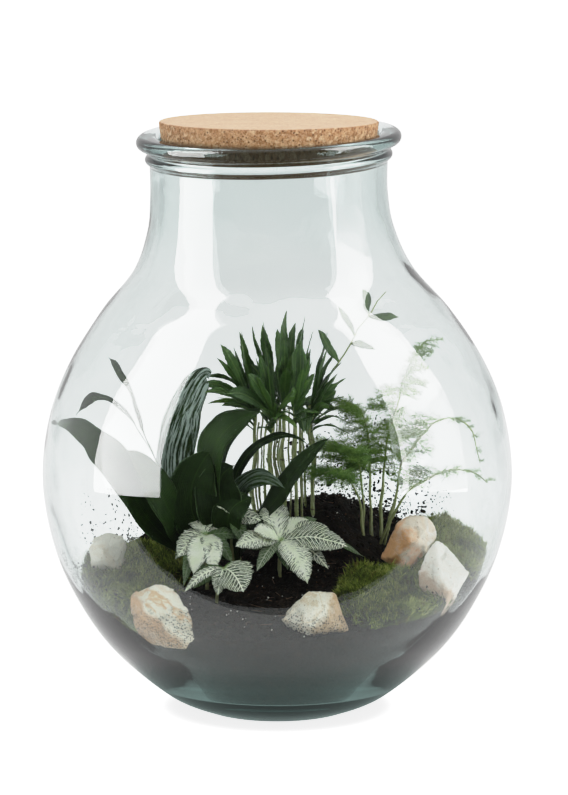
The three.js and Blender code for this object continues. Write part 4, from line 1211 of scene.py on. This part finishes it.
def buildPalmCane(name, heading, ring, top, leaflets, reach, phase, frond=False):
    angle = math.radians(heading)
    x, y = palm["centre"][0] + ring * math.cos(angle), palm["centre"][1] + ring * math.sin(angle)
    top += palm["crownLift"]
    crown = np.array([x, y, top])
    mesh = Mesh()
    caneTube(mesh, x, y, top, phase, palm["caneRadius"], 0.0)
    turn, away = rng.uniform(0, fullTurn), rng.uniform(4.2, 7.5)
    caneTube(mesh, x + away * math.cos(turn), y + away * math.sin(turn), top - rng.uniform(2, 8), phase,
             rng.uniform(0.7, 1.05), rng.choice([0.0, 0.75]))
    for leaf in leaflets:
        palmLeaflet(mesh, crown, heading, leaf, reach, randomTone(0.45))
    for _ in range(palm["youngEach"]):
        young = [rng.uniform(low, high) for low, high in palm["youngLeaflet"]]
        palmLeaflet(mesh, crown, heading, young, 0.8, randomTone(0.4))
    for tip, width, lift, tone in palm["shown"].get(name, []):
        shownLeaflet(mesh, crown, tip, width, lift, tone)
    if frond:
        buildFrond(mesh)
    mesh.make(name + "_leafy", [name], "palm_leaf", [palmFinish, caneFinish])


def buildFrond(mesh):
    angle = math.pi / palm["outerCanes"]
    root = np.array([palm["centre"][0] + palm["outerRing"] * math.cos(angle),
                     palm["centre"][1] + palm["outerRing"] * math.sin(angle), palm["frondFoot"]])
    controls = [root, root + palm["frondBend"], palm["frondTip"]]
    steps = np.linspace(0, 1, 22)
    path, along = bezier(controls, steps)
    wide, less = palm["frondRadius"]
    tube(mesh, path, along, wide - less * steps, 7)
    for t, dx, dz in palm["frond"]:
        base = bezier(controls, [t])[0][0]
        via, tip = base + [dx * 0.6, -3, dz * 0.6 + 2], base + [dx * 1.1, -4, dz]
        leafBlade(mesh, [base, via, tip], 6, 0.45, **palm["frondForm"])


def buildPalm():
    for k in range(palm["outerCanes"]):
        heading = 360 / palm["outerCanes"] * (k + 0.5)
        top = palm["outerTop"] + 4 * math.sin(2.4 * k)
        buildPalmCane(f"palm_outer_{k + 1}", heading, palm["outerRing"], top, palm["outerLeaflets"],
                      palm["crowded"].get(k, 1), 1.3 * k, frond=k == 0)
    for k in range(palm["innerCanes"]):
        heading = 360 / palm["innerCanes"] * k
        top = palm["innerTop"] + 3 * math.sin(1.9 * k)
        buildPalmCane(f"palm_inner_{k + 1}", heading, palm["innerRing"], top, palm["innerLeaflets"],
                      1, 0.7 + 1.1 * k)


buildPalm()
report("palm planted")

# Dark broad-leaved plant. Each leaf: bends, tip, width, wave, face, tone (low gives a painted shaded green,
# higher a painted lit green, above 0.8 is striped grey).
dracaena = {
    "dracaena_left": {"root": (-62, 15), "radius": 2.6, "leaves": [
        ((-106, 8, 168), (-52, 20, 270), (-50, 20, 245), 28, 1.2, (0.2, -1, 0.1), 1.0),
        ((-106, -66, 146), (-127, -48, 234), (-167, -16, 216), 31, 1.6, (0.5, -0.9, 0.8), 0.5),
        ((-81, -54, 152), (-87, -48, 188), (-111, -44, 202), 27, 1.4, (0.5, -0.9, 0.5), 0.6),
        ((-72, -6, 157), (-74, -6, 158), (-82, -8, 177), 24, 1, (0.3, -1, 0.4), 0.2),
        ((-92, 36, 180), (-112, 32, 240), (-127, 22, 262), 8, 1, (0.9, -0.7, 0.5), 0.5),
        ((-90, 10, 205), (-128, 14, 262), (-151, 10, 219), 8, 0.8, (0.9, -0.7, 0.5), 0.3)]},
    "dracaena_right": {"root": (-30, 4), "radius": 2.6, "leaves": [
        ((-70, -34, 201), (-38, -34, 225), (-10, -12, 226), 36, 1.2, (-0.8, -0.55, 0.2), 0.6),
        ((-45, -9, 193), (-6, -3, 219), (24, -16, 199), 9, 0.5, (0.1, -0.8, 0.9), 0.15),
        ((0, -18, 166), (14, -15, 184), (39, -28, 209), 18, 0.8, (-0.4, -0.7, 0.7), 0.35),
        ((-83, -34, 144), (-60, -34, 190), (-50, -28, 199), 36, 1.4, (0.1, -1, 0.2), 0.35),
        ((-66, -4, 195), (-34, 10, 214), (-11, 8, 226), 18, 1.2, (-0.6, -0.8, 0.2), 0.15),
        ((-45, -39, 160), (-50, -31, 180), (-31, -26, 188), 36, 1.4, (0, -1, 0.3), 0.25),
        ((-49, -45, 156), (-30, -28, 159), (-17, -26, 164), 24, 1, (-0.2, -1, 0.4), 0.4),
        ((-40, -16, 171), (-17, -18, 186), (5, -20, 169), 16, 1, (-0.1, -0.9, 0.5), 0.8)]},
}
dracaenaLook = {"stemRows": 14, "stemTop": 10, "firstLeaf": 8, "leafStep": 1.2, "narrow": 10,
                "narrowPeakFoot": (0.86, 0.6), "broadPeakFoot": (0.48, 1.8),
                "blade": {"thick": 1.0, "rows": 46, "columns": 14, "ruffle": 0.015, "ruffles": 5}}


def dracaenaMaterial():
    nodes = newMaterial("darkBroadLeaf")
    place = nodes.leafPlace()
    ribs = nodes.ribs(place, 0.13, 0.03)
    solid = nodes.inMillimetres()
    grain, tone = nodes.grain(solid, 0.03, 0.6), nodes.attribute("tone")
    # A shaded and a lit copy of the same green, picked by each leaf's tone: painted shade and painted light.
    dark = nodes.mix(grain["Tone"], (9, 18, 6), (19, 33, 10))
    lit = nodes.mix(grain["Tone"], (20, 36, 9), (34, 54, 13))
    colour = nodes.mix(nodes.remap(tone, 0.1, 0.62), dark, lit)
    colour = nodes.mix(ribs["Streak"] * 0.25, colour, (44, 70, 24))
    colour = nodes.mix(ribs["Midrib"] * 0.2, colour, (70, 100, 40))
    streak = nodes.noise(nodes.stretch(place, 6.0, 0.4, 1.0), 1.0, 6, 0.7)
    silver = nodes.remap(streak, 0.46, 0.56) * nodes.remap(tone, 0.7, 1.0) * 0.9
    colour = nodes.mix(silver, colour, (190, 206, 196))
    colour = nodes.mix(nodes.remap(nodes.attribute("edge"), 0.93, 1.0, 0.0, 0.75), colour, (98, 124, 80))
    colour = nodes.mix(nodes.specks(solid, 0.22, 0.16, 0.1) * 0.7, colour, (170, 186, 170))
    height = ribs["Rib"] + ribs["Streak"] * 0.6
    return nodes.finish(colour, (0.36, 0.5), height, 0.22, 0.8, 0.1, grain["Tone"])


dracaenaFinish = dracaenaMaterial()


def buildDracaena(name, plan):
    x, y = plan["root"]
    ground = float(soilHeight(x, y))
    mesh = Mesh()
    rows = dracaenaLook["stemRows"]
    height = np.linspace(ground - rootDepth, ground + dracaenaLook["stemTop"], rows)
    path = np.stack([np.full(rows, x), np.full(rows, y), height], -1)
    radius = plan["radius"] * (1 - 0.1 * np.linspace(0, 1, rows)) * (1 + 0.07 * np.sin(height * 1.9))
    tube(mesh, path, np.tile(upAxis, (rows, 1)), radius, 14, tone=0.3)
    for i, (bendA, bendB, tip, width, wave, face, tone) in enumerate(plan["leaves"]):
        start = (x, y, ground + dracaenaLook["firstLeaf"] - dracaenaLook["leafStep"] * i)
        slim = width < dracaenaLook["narrow"] and name == "dracaena_left"
        peak, foot = dracaenaLook["narrowPeakFoot" if slim else "broadPeakFoot"]
        leafBlade(mesh, [start, bendA, bendB, tip], width, tone, face, peak, foot, wave=wave,
                  **dracaenaLook["blade"])
    mesh.make(name + "_leafy", [name], "dracaena_leaf", [dracaenaFinish, caneFinish])


for name, plan in dracaena.items():
    buildDracaena(name, plan)
report("dracaena planted")

# Fittonia: leafy stems. Each leaf is its tip, its width and how far the white has spread.
fittonia = {
    "fittonia_right": {"root": (3, -24), "top": (3, -25, 131), "radius": 1.3, "leaves": [
        (-8, -3, 155, 22, 0.7), (-18, -36, 140, 16, 1.0), (-31, -46, 131, 19, 0.62),
        (23, -8, 143, 15, 1.0), (52, -38, 128, 26, 0.25), (22, -60, 105, 22, 0.75),
        (30, 2, 142, 11, 0.1), (38, -14, 139, 13, 0.4), (64, -8, 116, 9, 0.05),
        (-14, -52, 112, 13, 0.15), (8, -44, 112, 14, 0.1), (38, -40, 112, 14, 0.2),
        (-22, -18, 124, 15, 0.1), (28, 4, 122, 14, 0.05), (14, 8, 130, 12, 0.1)]},
    "fittonia_left": {"root": (-53, -30), "top": (-53, -30, 136), "radius": 1.3, "leaves": [
        (-36, -12, 139, 14, 0.7), (-73, -48, 123, 18, 0.55), (-62, -64, 113, 17, 1.0),
        (-45, -58, 120, 16, 1.0), (-66, -16, 144, 12, 0.8), (-29, -28, 134, 11, 0.05),
        (-53, -10, 146, 11, 0.6), (-47, -64, 113, 12, 0.85), (-76, -34, 118, 14, 0.15),
        (-34, -40, 118, 13, 0.1), (-60, -52, 108, 12, 0.1), (-70, -60, 104, 11, 0.1)]},
    "fittonia_front": {"root": (-46, -60), "top": (-40, -63, 118), "radius": 1.2, "face": (0.1, -0.9, 0.5),
                       "leaves": [
        (-24, -84, 104, 31, 0.22), (-68, -82, 104, 8, 0.5), (-44, -82, 101, 13, 0.25),
        (-26, -58, 110, 13, 0.1), (-62, -70, 104, 12, 0.1)]},
    "fittonia_back": {"root": (-33, -21), "top": (-36, -20, 147), "radius": 1.2, "leaves": [
        (-12, -25, 146, 19, 0.3), (-44, -32, 155, 12, 0.6), (-20, -8, 136, 12, 0.1),
        (-48, -12, 138, 12, 0.1), (-24, -36, 128, 12, 0.1)]},
}
fittoniaLook = {"face": (0, -0.6, 0.8), "veinGap": 3.3, "veinLean": 0.8, "quilt": 0.34,
                "blade": {"peak": 0.52, "foot": 0.9, "fold": 0.12, "thick": 0.7, "wave": 0.7, "waves": 2.5,
                          "ruffle": 0.03, "teeth": 0.16, "curl": 0.25}}


def fittoniaMaterial():
    nodes = newMaterial("silverNetLeaf")
    place, tone, edge = nodes.leafPlace(), nodes.attribute("tone"), nodes.attribute("edge")
    parts = nodes.add("SeparateXYZ", {0: place})
    sideways = abs(parts[0])
    lateral = parts[1] - sideways * fittoniaLook["veinLean"] + nodes.noise(place, 1.6, 3) * 0.3
    phase = lateral / (fittoniaLook["veinGap"] / 10) * math.pi
    fill = tone * tone * nodes.remap(edge, 0.1, 1.0, 0.8, 0.06)

    def line(distance, width, soft, fade):
        return nodes.remap(distance - width, -soft, fade, 1.0, 0.0)

    mainVein = line(abs(nodes.calc("SINE", phase)), fill * 0.95 + 0.34, 0.08, 0.1)
    forkWidth = (fill * 0.8 + 0.2) * nodes.remap(edge, 0.25, 0.5)
    forkVein = line(abs(nodes.calc("COSINE", phase)), forkWidth, 0.08, 0.1)
    along = nodes.add("CombineXYZ", {0: parts[0] * 2.1, 1: lateral * 5.6})[0]
    net = line(nodes.cracks(along, 1.0, voronoi_dimensions="2D"), fill * 0.3 + 0.02, 0.03, 0.05)
    middle = nodes.remap(sideways, 0.03, 0.08, 1.0, 0.0)
    patchy = edge + nodes.noise(place, 2.4, 3) * 0.5
    white = nodes.remap(patchy, 0.34, 0.56, 1.0, 0.0) * nodes.remap(tone, 0.4, 0.75)
    for vein in (mainVein, forkVein, net, middle):
        white = nodes.calc("MAXIMUM", white, vein)
    white = white * nodes.remap(edge, 0.9, 1.0, 1.0, 0.3)
    grain = nodes.grain(nodes.inMillimetres(), 0.1, 1.2)
    green = nodes.mix(grain["Tone"], (12, 24, 8), (30, 54, 16))
    silver = nodes.mix(grain["Tone"], (234, 242, 208), (255, 255, 240))
    colour = nodes.mix(white, green, silver)
    colour = nodes.mix(nodes.remap(parts[1], 0.05, 0.5, 0.8, 0.0), colour, (126, 164, 74))
    plain = nodes.mix(grain["Tone"], (42, 66, 28), (84, 116, 52))
    colour = nodes.mix(nodes.remap(tone, 0.12, 0.2, 1.0, 0.0) * 0.85, colour, plain)
    return nodes.finish(colour, (0.42, 0.58), grain["Height"] - white * 0.9, 0.22, 0.8, 0.2, grain["Tone"],
                        (0.06, (0.002, 0.003, 0.001)))


fittoniaFinish = fittoniaMaterial()


# The leaf swells between its side veins.
def quilted(sideways, along):
    lateral = along - fittoniaLook["veinLean"] * np.abs(sideways)
    swell = np.abs(np.sin(math.pi * lateral / fittoniaLook["veinGap"]))
    return fittoniaLook["quilt"] * (swell - 0.6) * np.clip(np.abs(sideways) / 1.5, 0, 1)


def buildFittonia(name, plan):
    x, y = plan["root"]
    top = np.array(plan["top"], float)
    foot = float(soilHeight(x, y)) - rootDepth
    face = plan.get("face", fittoniaLook["face"])
    mesh = Mesh()
    middle = (x, y, (foot + top[2]) / 2)
    path, along = bezier([(x, y, foot), middle, top + [0, 0, 0.8]], np.linspace(0, 1, 16))
    tube(mesh, path, along, plan["radius"] * (1 + 0.06 * np.sin(path[:, 2])), 9)
    for *tip, width, white in plan["leaves"]:
        length = np.linalg.norm(tip - top)
        via = (tip + top) / 2
        via[2] = max(tip[2], top[2]) * 0.5 + (tip[2] + top[2]) / 4 + 0.16 * length
        rows, columns = (48, 20) if white > 0.2 else (24, 12)
        leafBlade(mesh, [top, via, tip], width, white, face, rows=rows, columns=columns, ruffles=length / 4.4,
                  toothGap=fittoniaLook["veinGap"], relief=quilted, **fittoniaLook["blade"])
    mesh.make(name + "_leafy", [name], "fittonia_leaf", [fittoniaFinish, caneFinish])


for name, plan in fittonia.items():
    buildFittonia(name, plan)
report("fittonia planted")

# Asparagus fern: wiry stems that arch apart, with flat plumes of very fine needles.
fern = {
    "stemRadius": 1.2, "tipRadius": 0.45, "plumeRadius": 0.3, "twigs": 11, "twigRadius": 0.13,
    "needlesEach": 11, "needleLength": (2.2, 5.6), "needleWidth": 0.11, "lowest": 169, "branching": 0.62,
    "outermost": 0.985, "crowding": 1.2, "fullReach": (0.52, 0.74), "plumeDroop": 0.1, "plumeTurn": (62, 14),
    "twigTurn": (52, 9), "twigReach": (0.46, 2.0), "needleTurn": (22, 62), "sparseFrom": 0.12,
    "stems": {
        "fern_stem_low_left": ((68, 37), (66, 32, 150), (54, 18, 182), (35, 4, 176), 20, 26, 21, 0.15),
        "fern_stem_mid_left": ((68, 45), (66, 38, 165), (62, 26, 199), (46, 14, 192), 22, 26, 40, 0.3),
        "fern_stem_high_left": ((73, 51), (73, 54, 180), (68, 52, 230), (51, 46, 220), 24, 20, 38, 0.45),
        "fern_stem_tall": ((79, 51), (80, 60, 190), (95, 60, 250), (115, 42, 270), 28, 15, 58, 0.75),
        "fern_stem_arch": ((81, 44), (92, 42, 200), (140, 34, 256), (156, 28, 178), 28, 9, 52, 0.6),
        "fern_stem_low_right": ((76, 38), (92, 22, 170), (128, 6, 194), (156, -16, 172), 24, 8, 40, 0.5)},
}


def fernMaterial():
    nodes = newMaterial("fernNeedle")
    tone, grain = leafTone(nodes, nodes.inMillimetres(), 0.05, 0.5, 0.6, 0.4)
    colour = nodes.ramp(tone, {0.0: (50, 76, 38), 0.45: (90, 126, 58), 1.0: (158, 190, 92)})
    return nodes.finish(colour, 0.6, grain["Height"], 0.1, shine=0.1)


fernFinish = fernMaterial()


def turnedLevel(vectors, angle):
    c, s = np.cos(angle), np.sin(angle)
    x, y = vectors[..., 0], vectors[..., 1]
    return np.stack([x * c - y * s, x * s + y * c, vectors[..., 2]], -1)


def buildPlume(base, heading, length, tone, twigList, needleList):
    twigs = int(np.clip(length / 1.6, 4, fern["twigs"]))
    both = 2 * twigs
    t = np.repeat(np.linspace(0.06, 0.97, twigs), 2) + rng.uniform(-0.03, 0.03, both)
    start = base + heading * (length * t)[:, None]
    start[:, 2] -= fern["plumeDroop"] * length * t ** 2
    taper = np.power(np.clip(1 - 0.8 * t, 0, 1), 0.7)
    (portion, least), (turn, sway) = fern["twigReach"], fern["twigTurn"]
    reach = (portion * length + least) * taper * rng.uniform(0.75, 1.1, both)
    swing = np.tile([-1, 1], twigs) * np.radians(turn + rng.uniform(-sway, sway, both))
    along = turnedLevel(np.tile(heading, (both, 1)), swing)
    along[:, 2] += rng.uniform(-0.5, 0.6, both)
    along = unit(along)
    twigList.append((start, start + along * reach[:, None], np.full(both, tone)))
    each = int(np.clip(length / 1.5, 6, fern["needlesEach"]))
    share = np.tile(np.linspace(0.08, 1.0, each), (both, 1)) + rng.uniform(-0.03, 0.03, (both, each))
    feet = start[:, None] + along[:, None] * (reach[:, None] * share)[..., None]
    swing = rng.choice([-1, 1], share.shape) * np.radians(rng.uniform(*fern["needleTurn"], share.shape))
    way = turnedLevel(np.broadcast_to(along[:, None], feet.shape), swing)
    way[..., 2] += rng.uniform(-1.0, 1.2, share.shape)
    size = rng.uniform(*fern["needleLength"], share.shape) * (1.05 - 0.4 * share)
    ends = feet + unit(way) * size[..., None]
    tones = np.clip(tone + rng.normal(0, 0.12, share.shape), 0, 1)
    needleList.append((feet.reshape(-1, 3), ends.reshape(-1, 3), tones.ravel()))


def buildFern(name, plan):
    (x, y), bendA, bendB, tip, inner, outer, count, pale = plan
    controls = [(x, y, float(soilHeight(x, y)) - rootDepth), bendA, bendB, tip]
    steps = np.linspace(0, 1, 40)
    path, along = bezier(controls, steps)
    mesh = Mesh()
    path = insideGlass(path, 1.6)
    tube(mesh, path, along, fern["stemRadius"] + (fern["tipRadius"] - fern["stemRadius"]) * steps, 7)
    twigList, needleList, (turn, sway) = [], [], fern["plumeTurn"]
    first = steps[np.argmax(path[:, 2] > fern["lowest"])]
    for i in range(count):
        t = first + (fern["outermost"] - first) * (i / (count - 1)) ** fern["crowding"]
        # the free ends of the outer stems are sparse
        if t > fern["branching"] - fern["sparseFrom"] and outer < 10 and i % 3:
            continue
        base, tangent = (row[0] for row in bezier(controls, [t]))
        side = 1 if i % 2 else -1
        level = unit([tangent[0], tangent[1], 0])
        heading = turnedLevel(level, side * math.radians(turn + rng.uniform(-sway, sway)))
        if t < fern["branching"]:
            heading = turnedLevel(np.array([-1.0, 0, 0]), rng.uniform(-1.9, 1.9))
        heading[2] = rng.uniform(-0.25, 0.3)
        spread = 0.55 + 0.45 * math.sin(math.pi * (0.25 + 0.75 * i / count))
        reach = inner + (outer - inner) * smoothStep(*fern["fullReach"], t)
        length = reach * spread * rng.uniform(0.75, 1.2)
        tone = np.clip(0.3 + pale + 0.3 * i / count + rng.normal(0, 0.12), 0, 1)
        s = np.linspace(0, 1, 8)
        droop = fern["plumeDroop"] * length * s ** 2
        core = base + heading * (length * s)[:, None] - upAxis * droop[:, None]
        radius = fern["plumeRadius"] * (1 - 0.6 * s)
        tube(mesh, insideGlass(core, 0.8), np.tile(heading, (8, 1)), radius, 4, 0, tone)
        buildPlume(base, heading, length, tone, twigList, needleList)
    for parts, wide in ((twigList, fern["twigRadius"]), (needleList, fern["needleWidth"])):
        feet, ends, tones = (np.concatenate([part[k] for part in parts]) for k in range(3))
        spikes(mesh, insideGlass(feet), insideGlass(ends), wide, 0.7 * wide, tones)
    mesh.make(name + "_plumed", [name], "fern_leaf", [fernFinish, caneFinish])


for name, plan in fern["stems"].items():
    buildFern(name, plan)
report("fern planted")
